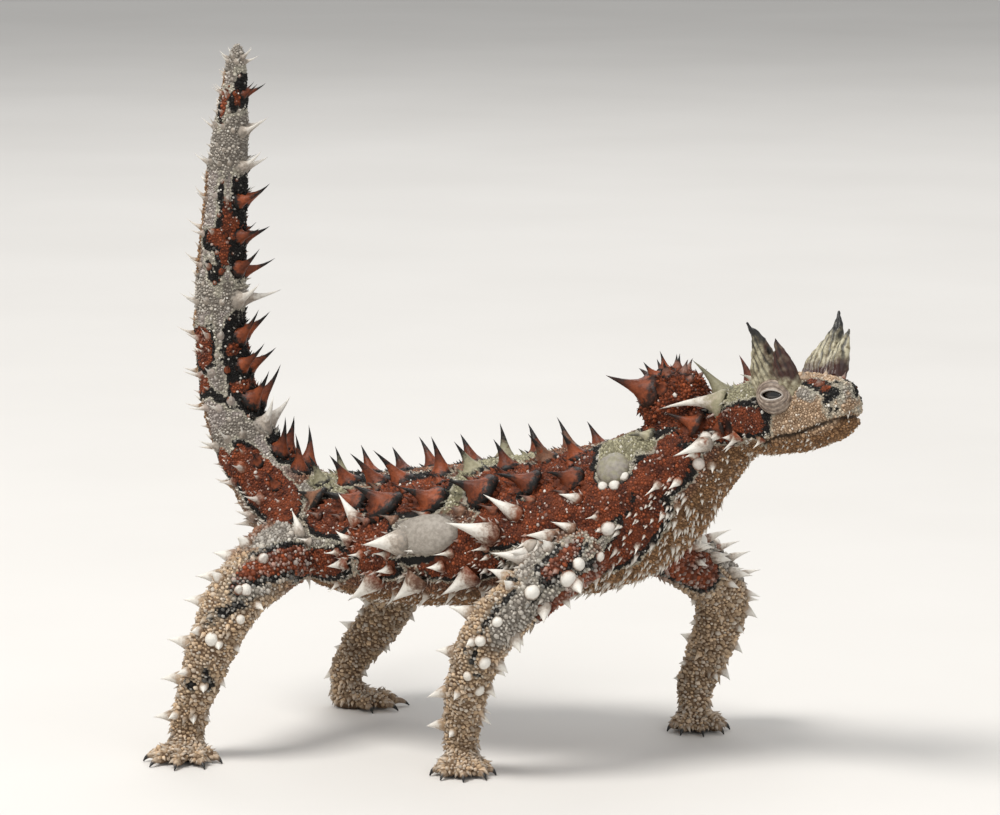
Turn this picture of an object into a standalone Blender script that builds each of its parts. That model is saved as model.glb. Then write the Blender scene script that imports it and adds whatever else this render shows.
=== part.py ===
"""A life-size thorny devil in mid stride: a small spiny lizard that stands high on four legs, with its
tail raised upright behind it and its head lifted and turned to its right.

One smooth body line runs from the tail's tip to the snout, and one line runs down each leg. Rings set
along these lines give the flesh, thin cuts part it where a person would name its parts, and rows of
spines are fused to each part. Sizes are in millimetres until a mesh is made from them, which is in
metres. +X is forward, +Y is the animal's left and +Z is up. The feet stand on Z = 0.
"""

import math
import random

import bmesh
import bpy
import numpy as np
from mathutils import Matrix, Vector
from mathutils.bvhtree import BVHTree

MM = 0.001  # one millimetre in metres
GAP = 0.3  # the thin cut between two parts
SEED = 7

# The head: the point midway between the eyes, and how the head is turned from straight ahead
EYE_MIDPOINT = Vector((85.0, -4.0, 58.0))
HEAD_YAW = -24.0
HEAD_PITCH = 12.0
NECK_YAW = -6.0

# The body line from the tail's tip to the shoulders:
# x, y, z, half width, height above the line, depth below it, yaw in degrees
BODY_LINE = (
    (-8.0, 0.0, 105.6, 0.5, 0.5, 0.5, 0.0),
    (-8.3, 0.0, 103.4, 1.4, 1.4, 1.4, 0.0),
    (-8.7, 0.0, 99.6, 2.0, 2.0, 2.0, 0.0),
    (-9.2, 0.0, 94.3, 2.7, 2.7, 2.6, 0.0),
    (-9.9, 0.0, 87.6, 3.2, 3.1, 3.1, 0.0),
    (-10.6, 0.0, 78.4, 3.7, 3.6, 3.6, 0.0),
    (-11.4, 0.0, 68.6, 4.1, 3.9, 3.9, 0.0),
    (-11.4, 0.0, 60.4, 4.4, 4.1, 4.2, 0.0),
    (-10.2, 0.0, 52.6, 4.8, 4.4, 4.5, 0.0),
    (-7.6, 0.0, 45.1, 5.4, 4.8, 5.0, 0.0),
    (-3.0, 0.0, 38.6, 6.6, 5.7, 6.0, 0.0),
    (2.8, 0.0, 33.8, 8.8, 7.3, 7.5, 0.0),
    (9.8, 0.0, 31.5, 12.0, 9.1, 8.7, 0.0),
    (17.2, 0.0, 31.0, 15.0, 10.1, 9.4, 0.0),
    (26.0, 0.0, 31.8, 17.2, 10.8, 10.1, 0.0),
    (35.5, 0.0, 33.1, 17.2, 11.2, 10.5, 0.0),
    (45.0, 0.0, 34.9, 15.4, 11.3, 10.8, 0.0),
    (53.6, 0.0, 37.6, 12.8, 10.6, 11.0, 0.0),
    (60.8, 0.0, 41.8, 10.4, 9.3, 9.8, -2.0),
    (67.0, 0.1, 46.6, 8.0, 7.4, 7.0, NECK_YAW),
)
TAIL_TIP_END, TAIL_MIDDLE_END, TAIL_BASE_END, TORSO_END = 5, 8, 11, 18  # places in BODY_LINE

# The rest of it, in the head's own axes from EYE_MIDPOINT:
# forward, up, half width, height above, depth below
SKULL_LINE = (
    (-13.0, -3.0, 6.4, 5.4, 5.4),
    (-9.0, -2.5, 7.1, 5.4, 6.1),
    (-5.0, -2.3, 7.4, 5.5, 6.4),
    (-1.0, -2.2, 7.0, 5.4, 6.5),
    (2.6, -2.4, 5.9, 4.9, 6.0),
    (5.4, -2.7, 5.0, 4.4, 5.4),
    (7.4, -2.9, 4.1, 4.0, 4.7),
    (8.6, -3.1, 3.0, 3.0, 3.6),
    (9.2, -3.2, 1.3, 1.3, 1.7),
)

# Features of the head, in the head's own axes: forward, left, up. Each is made on both sides.
EYE_AT = (0.0, 5.1, 0.0)
EYE_RADIUS = 2.0
LID_RADIUS = 3.0
EYE_OUTWARDS = (0.1, 1.0, 0.06)  # the direction that an eye looks in: forward, left, up
EYE_AHEAD = (1.0, 0.0, -0.1)  # the direction from one corner of an eye to the other
SLIT_HALF_SIZES = (1.75, 0.75)
SLIT_POINTS = 10
SLIT_POINTING = 0.3  # how much its corners are drawn out
SLIT_DEPTHS = (0.6, 4.5)  # how far its cutter starts and ends from the eye's middle
NOSTRIL_AT = (8.2, 1.7, -1.5)
NOSTRIL_RADIUS = 0.5
EAR_AT = (-9.6, 7.2, -3.6)
EAR_RADII = (1.1, 1.0, 1.5)
BROW = ((1.6, 5.0, 3.0), (3.2, 5.5, 1.9), (4.0, 5.6, 0.2), (3.8, 5.5, -1.6))
BROW_RADIUS = 1.0
MOUTH_LEVELS = ((-4.0, -6.9), (2.0, -6.2), (9.0, -5.0))  # forward, up
MOUTH_REACH = 118.0  # degrees to each side of straight ahead
MOUTH_POINTS = 13
MOUTH_MIDDLE = -1.0  # the point of the head's midline that the mouth runs round
MOUTH_LONGEST = 9.0  # how far ahead the snout is, for its level
LIP_RADIUS = 0.5

# The horns: forward, left, up, half length, half thickness twice; a tall rear lobe and a low front one
HORN_REAR = (
    (-1.6, 4.1, 0.6, 2.6, 2.2, 2.2),
    (-1.4, 5.2, 3.4, 2.5, 1.9, 1.9),
    (-1.1, 6.4, 6.0, 1.8, 1.4, 1.4),
    (-1.1, 7.4, 8.2, 1.1, 0.9, 0.9),
    (-1.6, 8.2, 10.0, 0.4, 0.35, 0.35),
    (-2.1, 8.6, 10.9, 0.1, 0.1, 0.1),
)
HORN_FRONT = (
    (1.2, 4.0, 0.4, 2.0, 1.9, 1.9),
    (1.6, 5.0, 3.2, 1.9, 1.6, 1.6),
    (1.9, 5.9, 5.6, 1.2, 1.0, 1.0),
    (1.9, 6.6, 7.4, 0.5, 0.4, 0.4),
    (1.8, 7.0, 8.2, 0.1, 0.1, 0.1),
)

# The knob on the nape, and its thorns: direction from its middle, length, root radius
KNOB_AT = Vector((63.4, 0.2, 54.8))
KNOB_RADII = (5.6, 4.7, 5.0)
KNOB_TILT = -34.0
KNOB_THORNS = (
    ((-0.72, -0.52, 0.34), 6.4, 2.7),
    ((-0.72, 0.52, 0.34), 6.4, 2.7),
    ((-0.55, -0.30, 0.78), 2.6, 1.4),
    ((-0.55, 0.34, 0.76), 2.4, 1.4),
    ((-0.10, -0.42, 0.90), 2.4, 1.3),
    ((-0.12, 0.40, 0.90), 2.3, 1.3),
    ((0.35, -0.20, 0.91), 2.2, 1.2),
    ((0.30, 0.28, 0.91), 2.0, 1.2),
    ((-0.30, 0.02, 0.95), 2.6, 1.3),
    ((0.10, 0.02, 0.99), 2.3, 1.2),
    ((-0.15, -0.85, 0.50), 2.2, 1.3),
    ((-0.15, 0.85, 0.50), 2.2, 1.3),
)

# Thorns of the head and nape by place, in the head's own axes: forward, left, up of the root,
# direction, length and root radius
HEAD_THORNS = (
    ((-7.6, 6.0, 0.2), (-0.96, 0.22, 0.16), 8.2, 2.0),
    ((-10.6, 3.4, 2.0), (-0.42, 0.30, 0.85), 4.4, 1.7),
    ((-6.4, 3.2, 3.0), (-0.80, 0.30, 0.52), 2.8, 1.3),
    ((-8.4, 6.6, -5.6), (-0.80, 0.30, -0.52), 3.2, 1.2),
    ((-4.0, 6.2, -6.8), (-0.60, 0.50, -0.62), 1.8, 0.9),
    ((-11.4, 6.2, -3.4), (-0.88, 0.42, -0.10), 3.0, 1.2),
    ((-3.2, 6.6, 2.4), (-0.50, 0.76, 0.42), 2.0, 1.1),
    ((6.2, 2.6, 1.4), (0.30, 0.42, 0.86), 1.4, 1.0),
    ((3.2, 2.2, 2.6), (0.10, 0.30, 0.95), 1.5, 1.1),
    ((-5.4, 1.2, 3.2), (-0.40, 0.10, 0.91), 1.7, 1.1),
)

# Each leg's line from inside the body to the ankle or wrist: x, y, z, half depth fore and aft,
# half thickness on the outer side, half thickness on the inner side
HIND_RIGHT = (
    (3.5, -3.0, 30.0, 6.0, 5.4, 5.4),
    (3.4, -10.0, 29.1, 5.8, 5.0, 5.0),
    (3.0, -17.6, 26.9, 4.9, 4.5, 4.5),
    (2.1, -23.6, 23.6, 4.2, 4.0, 4.0),
    (0.0, -25.3, 17.9, 3.6, 3.5, 3.5),
    (-2.8, -24.9, 11.2, 3.0, 3.0, 3.0),
    (-4.8, -24.5, 5.4, 2.5, 2.5, 2.5),
    (-5.0, -24.4, 2.8, 2.3, 2.3, 2.3),
)
HIND_LEFT = (
    (3.5, 3.0, 29.6, 6.0, 5.4, 5.4),
    (3.9, 9.5, 27.4, 5.7, 4.9, 4.9),
    (6.1, 15.4, 23.0, 4.8, 4.3, 4.3),
    (8.0, 20.2, 18.4, 4.0, 3.8, 3.8),
    (5.0, 21.0, 13.0, 3.4, 3.3, 3.3),
    (2.0, 19.8, 8.6, 3.0, 2.9, 2.9),
    (0.6, 18.6, 5.2, 2.5, 2.5, 2.5),
    (0.9, 18.3, 2.9, 2.3, 2.3, 2.3),
)
FORE_RIGHT = (
    (53.2, -4.0, 35.0, 5.4, 5.0, 5.0),
    (52.5, -11.6, 33.0, 5.0, 4.6, 4.6),
    (49.0, -17.4, 28.7, 4.2, 4.0, 4.0),
    (43.6, -21.2, 23.0, 3.9, 3.8, 3.8),
    (40.3, -20.6, 16.9, 3.5, 3.5, 3.5),
    (37.9, -18.4, 11.0, 3.0, 2.9, 2.9),
    (36.4, -16.4, 5.4, 2.5, 2.5, 2.5),
    (36.4, -16.2, 2.9, 2.3, 2.3, 2.3),
)
FORE_LEFT = (
    (54.3, 4.0, 34.4, 5.4, 5.0, 5.0),
    (56.4, 11.6, 31.2, 5.0, 4.7, 4.7),
    (59.4, 18.8, 26.9, 4.4, 4.3, 4.3),
    (61.5, 24.2, 21.9, 4.0, 3.9, 3.9),
    (60.2, 26.2, 16.0, 3.7, 3.7, 3.7),
    (57.8, 27.0, 10.2, 3.1, 3.1, 3.1),
    (56.2, 26.8, 5.4, 2.6, 2.6, 2.6),
    (56.3, 26.6, 2.9, 2.4, 2.4, 2.4),
)
KNEE, ANKLE = 3, 6  # places in each leg's line where it is cut

TOE_FAN = (-62.0, -30.0, 0.0, 30.0, 62.0)  # degrees from the middle toe
TOE_SHARES = (0.72, 0.92, 1.0, 0.94, 0.74)  # each toe's share of the toe length
TOE_RADIUS = 1.1
SOLE_RADII = (3.3, 3.0, 2.1)
SOLE_HEIGHT = 1.35
SOLE_AHEAD = 0.9  # how far the sole's middle is from the end of the leg's line
TOE_ROOT = 1.2  # how far a toe's root is from the sole's middle
TOE_SIDES = 6
# Along a toe: distance out as a share of its length, height of its middle, radius as a share
TOE_LEVELS = ((0.0, 1.5, 1.05), (0.7, 1.05, 0.95), (1.0, 0.6, 0.6))
# A claw: its root and its own length as shares of the toe's length, its root's height, its drop and
# its radius as a share of the toe's
CLAW_ROOT, CLAW_SHARE, CLAW_HEIGHT, CLAW_DROP, CLAW_RADIUS = 0.94, 0.4, 0.8, 0.55, 0.5
GROUND_HALF_SIZE = 20.0

# Sides of the rings, and how far apart the rings stand
RING_SIDES = {"tail": 12, "torso": 20, "neck": 18, "head": 18, "leg": 11, "horn": 8}
RING_STEP = {"tail": 4.2, "torso": 4.3, "neck": 3.2, "head": 2.1, "leg": 3.3, "horn": 2.2}

# Rows of thorns along each side of the trunk: from x, to x, step, degrees from the middle of the back,
# length, root radius, lean towards the tail in degrees
TRUNK_ROWS = (
    (4.6, 59.0, 6.1, 19.0, 5.6, 2.3, 16.0),
    (7.0, 58.0, 7.8, 47.0, 5.2, 2.8, 52.0),
    (10.0, 51.0, 8.9, 75.0, 7.0, 3.1, 57.0),
    (11.5, 50.0, 7.4, 101.0, 5.4, 2.4, 58.0),
    (8.5, 58.0, 4.9, 131.0, 2.4, 1.2, 24.0),
    (8.0, 57.0, 5.6, 33.0, 2.2, 1.1, 40.0),
    (9.0, 54.0, 5.4, 61.0, 2.3, 1.2, 44.0),
    (9.0, 56.0, 5.2, 88.0, 2.5, 1.3, 46.0),
)
# The same along the neck, with shares of its length for x
NECK_ROWS = (
    (0.30, 0.92, 0.60, 40.0, 3.0, 1.5, 46.0),
    (0.24, 0.95, 0.34, 68.0, 3.6, 1.5, 58.0),
    (0.24, 0.95, 0.34, 97.0, 2.4, 1.2, 50.0),
    (0.24, 0.95, 0.34, 130.0, 1.6, 0.9, 30.0),
)
# Whorls round the tail: degrees from its upper side, length and root radius as shares of its half width
WHORL = (
    (25.0, 1.0, 0.52),
    (68.0, 0.6, 0.42),
    (113.0, 0.5, 0.36),
    (158.0, 0.42, 0.32),
)
WHORL_STEP = 5.3
WHORL_EXTRA = 1.2  # added to the length, so that the thin end keeps its thorns
WHORL_LARGEST = (4.2, 1.9)  # length and root radius that none passes
WHORL_LEAN = 26.0
# Rows down a leg: share of its length from, to, count, degrees from its outer side towards its front,
# length, root radius
HIND_ROWS = (
    (0.26, 0.93, 6, -72.0, 3.4, 1.6),
    (0.30, 0.90, 5, -24.0, 2.5, 1.4),
    (0.34, 0.90, 5, 34.0, 2.2, 1.3),
    (0.46, 0.90, 4, 88.0, 1.8, 1.0),
    (0.50, 0.86, 3, -138.0, 1.7, 1.0),
)
FORE_ROWS = (
    (0.26, 0.92, 6, -68.0, 3.1, 1.5),
    (0.24, 0.90, 6, -4.0, 2.5, 1.6),
    (0.26, 0.84, 6, 62.0, 3.2, 1.3),
    (0.30, 0.84, 4, 112.0, 2.4, 1.0),
    (0.50, 0.85, 3, -134.0, 1.7, 1.0),
)
LEG_LEAN = 30.0
LARGE_THORN = 1.9  # root radius from which a thorn is hollow-sided and has six sides
SMALL_THORN = 1.15  # root radius below which it has four
SINK_SHARE = 0.45  # how deep a root goes in, as a share of its radius
SINK_DEPTH = 0.25  # and how much deeper than that
ROOT_SHARE = 1.08  # how much wider a thorn is under the skin
FLARE = (0.42, 0.46)  # where a large thorn narrows, as a share of its length, and to what share
THORN_BEND = 0.14  # how far it bows outwards there, as a share of how far it leans
FLANK_SQUASH = 0.85  # the width of the trunk's thorns as a share of their length along it
END_FADE = 0.22  # how much smaller the thorns are at a row's ends
FOOT_FADE = 0.3  # how much smaller they are at a leg's foot
MOVE_ALONG, MOVE_ROUND = 0.5, 3.0  # how far chance moves a thorn, in millimetres and degrees
VARY_LENGTH, VARY_RADIUS, VARY_LEAN, VARY_HEAD = 0.16, 0.1, 0.2, 0.06  # shares that chance adds
LEAST_RADIUS = 0.6
TAIL_CLEARANCE = 1.5  # how far the last whorl keeps from the torso
STEPS_ASIDE = (0.0, 1.3, -1.3, 2.6, -2.6)  # where a thorn may move to when its own place is taken

# Colours, with roughness: the rust back, the pale horns and the tan limbs
RUST = ((0.30, 0.10, 0.05), 0.72)
CREAM = ((0.55, 0.49, 0.41), 0.68)
TAN = ((0.42, 0.29, 0.19), 0.75)
DARK = ((0.02, 0.016, 0.014), 0.12)
SHARP_EDGE = 32.0  # degrees


# name, line, animal's side (-1 right, 1 left), direction of the toes in degrees, toe length, thorns
LEGS = (
    ("hind_right", HIND_RIGHT, -1, -74.0, 5.8, HIND_ROWS),
    ("hind_left", HIND_LEFT, 1, 25.0, 5.8, HIND_ROWS),
    ("fore_right", FORE_RIGHT, -1, -64.0, 4.5, FORE_ROWS),
    ("fore_left", FORE_LEFT, 1, -58.0, 4.5, FORE_ROWS),
)


class Line:
    """A smooth line through stations, with the ring of flesh that stands on each point of it."""

    def __init__(self, stations, side, turn=1):
        self.rows = np.array(stations, float)
        self.side = Vector(side)
        self.turn = turn
        lengths = np.linalg.norm(np.diff(self.rows[:, :3], axis=0), axis=1)
        self.knots = np.concatenate([[0.0], np.cumsum(lengths)])
        slopes = np.diff(self.rows, axis=0) / lengths[:, None]
        inner = (slopes[:-1] * lengths[1:, None] + slopes[1:] * lengths[:-1, None]) / (
            lengths[1:] + lengths[:-1]
        )[:, None]
        self.slopes = np.vstack([slopes[:1], inner, slopes[-1:]])
        self.length = float(self.knots[-1])

    def row(self, along):
        """All the values of a station, and their slopes, at a distance along the line."""
        i = int(np.clip(np.searchsorted(self.knots, along) - 1, 0, len(self.knots) - 2))
        step = self.knots[i + 1] - self.knots[i]
        t = (along - self.knots[i]) / step
        a, b = self.rows[i], self.rows[i + 1]
        m, n = self.slopes[i] * step, self.slopes[i + 1] * step
        value = (
            (2 * t**3 - 3 * t**2 + 1) * a
            + (t**3 - 2 * t**2 + t) * m
            + (3 * t**2 - 2 * t**3) * b
            + (t**3 - t**2) * n
        )
        slope = (
            (6 * t**2 - 6 * t) * (a - b) + (3 * t**2 - 4 * t + 1) * m + (3 * t**2 - 2 * t) * n
        ) / step
        return value, slope

    def frame(self, along):
        """The centre, the direction onwards, the side and the upper direction, and the three sizes."""
        value, slope = self.row(along)
        onwards = Vector(slope[:3]).normalized()
        side = self.side.copy()
        if len(value) > 6:
            side.rotate(Matrix.Rotation(math.radians(value[6]), 3, "Z"))
        side = (side - onwards * side.dot(onwards)).normalized()
        upper = onwards.cross(side) * self.turn
        return Vector(value[:3]), onwards, side, upper, value[3:6]

    def point(self, along, angle, out=0.0, shift=0.0):
        """The point of the surface at an angle, in degrees from the upper side towards the side.

        out stands it off the surface, and shift moves its ring square to itself.
        """
        centre, onwards, side, upper, (width, above, below) = self.frame(along)
        sine, cosine = math.sin(math.radians(angle)), math.cos(math.radians(angle))
        height = above if cosine > 0 else below
        middle = centre + onwards * shift
        return middle + side * ((width + out) * sine) + upper * ((height + out) * cosine)

    def normal(self, along, angle):
        """The direction that the surface faces there."""
        step, turn = 0.4, 4.0
        low, high = max(along - step, 0.0), min(along + step, self.length)
        lengthways = self.point(high, angle) - self.point(low, angle)
        round_it = self.point(along, angle + turn) - self.point(along, angle - turn)
        out = self.point(along, angle) - self.frame(along)[0]
        found = lengthways.cross(round_it).normalized()
        return found if found.dot(out) > 0 else -found

    def where(self, axis, value, low, high):
        """The distance along the line at which a coordinate has a value, found by halving."""
        rising = self.row(high)[0][axis] > self.row(low)[0][axis]
        for _ in range(40):
            middle = (low + high) / 2
            if (self.row(middle)[0][axis] < value) == rising:
                low = middle
            else:
                high = middle
        return (low + high) / 2


def head_axes():
    """The head's forward, left and upper directions."""
    yaw, pitch = math.radians(HEAD_YAW), math.radians(HEAD_PITCH)
    forward = Vector(
        (math.cos(yaw) * math.cos(pitch), math.sin(yaw) * math.cos(pitch), math.sin(pitch))
    )
    left = Vector((-math.sin(yaw), math.cos(yaw), 0.0))
    return forward, left, forward.cross(left)


def on_head(forward, left, up):
    """A point given in the head's own axes."""
    ahead, sideways, upwards = head_axes()
    return EYE_MIDPOINT + ahead * forward + sideways * left + upwards * up


def head_direction(forward, left, up):
    """A direction given in the head's own axes."""
    return (on_head(forward, left, up) - EYE_MIDPOINT).normalized()


def whole_body_line():
    """The line from the tail's tip to the snout."""
    skull = [
        (*on_head(forward, 0.0, up), width, above, below, HEAD_YAW)
        for forward, up, width, above, below in SKULL_LINE
    ]
    return Line(BODY_LINE + tuple(skull), side=(0, 1, 0))


def leg_line(stations, side):
    """A leg's line. Its ring angle is 0 on the outer side and 90 at the front."""
    return Line(stations, side=(1, 0, 0), turn=-side)


def new_object(name, bm):
    """An object from a bmesh in millimetres, with its faces pointing out."""
    bmesh.ops.recalc_face_normals(bm, faces=bm.faces)
    bmesh.ops.scale(bm, vec=(MM, MM, MM), verts=bm.verts)
    mesh = bpy.data.meshes.new(name)
    bm.to_mesh(mesh)
    bm.free()
    made = bpy.data.objects.new(name, mesh)
    bpy.context.scene.collection.objects.link(made)
    return made


def add_rings(bm, rings):
    """Closes a row of rings, each a list of points, into one tube with flat ends."""
    loops = [[bm.verts.new(point) for point in ring] for ring in rings]
    count = len(loops[0])
    for one, other in zip(loops, loops[1:]):
        for k in range(count):
            after = (k + 1) % count
            bm.faces.new((one[k], one[after], other[after], other[k]))
    bm.faces.new(loops[0])
    bm.faces.new(loops[-1])


def tube(name, line, start, end, kind, out=0.0, trims=(0.5, 0.5)):
    """The stretch of a line's flesh from one distance to another, each end trimmed by so many gaps."""
    count = max(2, round((end - start) / RING_STEP[kind]) + 1)
    sides = RING_SIDES[kind]
    rings = []
    for i in range(count):
        along = start + (end - start) * i / (count - 1)
        shift = GAP * trims[0] if i == 0 else -GAP * trims[1] if i == count - 1 else 0.0
        rings.append([line.point(along, 360.0 * k / sides, out, shift) for k in range(sides)])
    bm = bmesh.new()
    add_rings(bm, rings)
    return new_object(name, bm)


def ball(name, centre, radii, turn=None, subdivisions=2):
    """A rounded mass, turned by a matrix."""
    bm = bmesh.new()
    bmesh.ops.create_icosphere(bm, subdivisions=subdivisions, radius=1.0)
    placed = Matrix.Translation(centre) @ (turn or Matrix()).to_4x4() @ Matrix.Diagonal((*radii, 1.0))
    bmesh.ops.transform(bm, matrix=placed, verts=bm.verts)
    return new_object(name, bm)


def boolean(target, operation, objects):
    """Joins the objects to the target, or cuts them out of it, in one Boolean on their collection."""
    group = bpy.data.collections.new("operands")
    bpy.context.scene.collection.children.link(group)
    for item in objects:
        for home in list(item.users_collection):
            home.objects.unlink(item)
        group.objects.link(item)
    modifier = target.modifiers.new("join", "BOOLEAN")
    modifier.operation = operation
    modifier.solver = "MANIFOLD"
    modifier.operand_type = "COLLECTION"
    modifier.collection = group
    bpy.context.view_layer.update()
    evaluated = target.evaluated_get(bpy.context.evaluated_depsgraph_get())
    joined = bpy.data.meshes.new_from_object(evaluated)
    target.modifiers.clear()
    target.data = joined
    for item in objects:
        bpy.data.objects.remove(item)
    bpy.data.collections.remove(group)
    keep_largest(target)


def keep_largest(target):
    """Leaves only the closed surface that holds most, and triangles for faces."""
    bm = bmesh.new()
    bm.from_mesh(target.data)
    bmesh.ops.triangulate(bm, faces=bm.faces)
    left, shells = set(bm.faces), []
    while left:
        shell, edge_of_it = set(), [left.pop()]
        while edge_of_it:
            face = edge_of_it.pop()
            shell.add(face)
            for edge in face.edges:
                for other in edge.link_faces:
                    if other in left:
                        left.remove(other)
                        edge_of_it.append(other)
        shells.append(shell)
    largest = max(shells, key=shell_volume)
    dropped = [face for shell in shells if shell is not largest for face in shell]
    bmesh.ops.delete(bm, geom=dropped, context="FACES")
    loose = [vertex for vertex in bm.verts if not vertex.link_faces]
    bmesh.ops.delete(bm, geom=loose, context="VERTS")
    bm.to_mesh(target.data)
    bm.free()


def shell_volume(faces):
    """The signed volume inside a closed set of triangles."""
    return sum(f.verts[0].co.dot(f.verts[1].co.cross(f.verts[2].co)) for f in faces) / 6.0


def thorn(root, outwards, tip, radius, squash=1.0):
    """A thorn from root to tip, wide at its root on the skin, hollow-sided, and bent over at its tip."""
    whole = tip - root
    lie = whole - outwards * whole.dot(outwards)
    lie = lie.normalized() if lie.length > 0.01 else outwards.orthogonal().normalized()
    across = outwards.cross(lie).normalized()
    levels = [(root - outwards * (radius * SINK_SHARE + SINK_DEPTH), ROOT_SHARE)]
    large = radius >= LARGE_THORN
    if large:
        bend = outwards * (whole.dot(lie) * THORN_BEND)
        levels.append((root + whole * FLARE[0] + bend, FLARE[1]))
    sides = 6 if large else 5 if radius >= SMALL_THORN else 4
    bm = bmesh.new()
    rings = []
    for centre, share in levels:
        ring = []
        for k in range(sides):
            turn = 2 * math.pi * k / sides
            along = radius * share * math.cos(turn)
            sideways = radius * share * squash * math.sin(turn)
            ring.append(bm.verts.new(centre + lie * along + across * sideways))
        rings.append(ring)
    point = bm.verts.new(tip)
    bm.faces.new(rings[0])
    for k in range(sides):
        after = (k + 1) % sides
        if large:
            bm.faces.new((rings[0][k], rings[0][after], rings[1][after], rings[1][k]))
        bm.faces.new((rings[-1][k], rings[-1][after], point))
    return new_object("thorn", bm)


def tree_of(items):
    """A search tree of the objects' triangles, in millimetres."""
    points, faces = [], []
    for item in items:
        first = len(points)
        points += [vertex.co / MM for vertex in item.data.vertices]
        faces += [[first + i for i in face.vertices] for face in item.data.polygons]
    return BVHTree.FromPolygons(points, faces)


def is_inside(tree, point):
    """Whether a point is inside a closed surface."""
    place, normal, _, _ = tree.find_nearest(point)
    return (point - place).dot(normal) < 0


class Body:
    """The parts made so far, each with the thorns that wait to be fused to it."""

    def __init__(self, line):
        self.line = line
        self.parts = {}
        self.thorns = {}
        self.walls = {}

    def add(self, item, walls):
        """Takes in a part, and slightly larger copies of it that other parts' thorns keep clear of."""
        self.parts[item.name] = item
        self.thorns[item.name] = []
        self.walls[item.name] = tree_of(walls)
        for wall in walls:
            bpy.data.objects.remove(wall)

    def is_clear(self, name, tree, tip):
        """Whether a thorn of a part crosses no other part and no other part's thorns."""
        for other, wall in self.walls.items():
            if other == name:
                continue
            if wall.overlap(tree) or is_inside(wall, tip):
                return False
            if any(tree.overlap(near) for _, near in self.thorns[other]):
                return False
        return True

    def grow(self, name, made, tip):
        """Roots a thorn in a part if it is clear of the others, and says whether it did."""
        tree = tree_of([made])
        if self.is_clear(name, tree, tip):
            self.thorns[name].append((made, tree))
            return True
        bpy.data.objects.remove(made)
        return False

    def fuse(self):
        """Joins every part with its thorns."""
        for name, item in self.parts.items():
            if self.thorns[name]:
                boolean(item, "UNION", [made for made, _ in self.thorns[name]])


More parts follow.
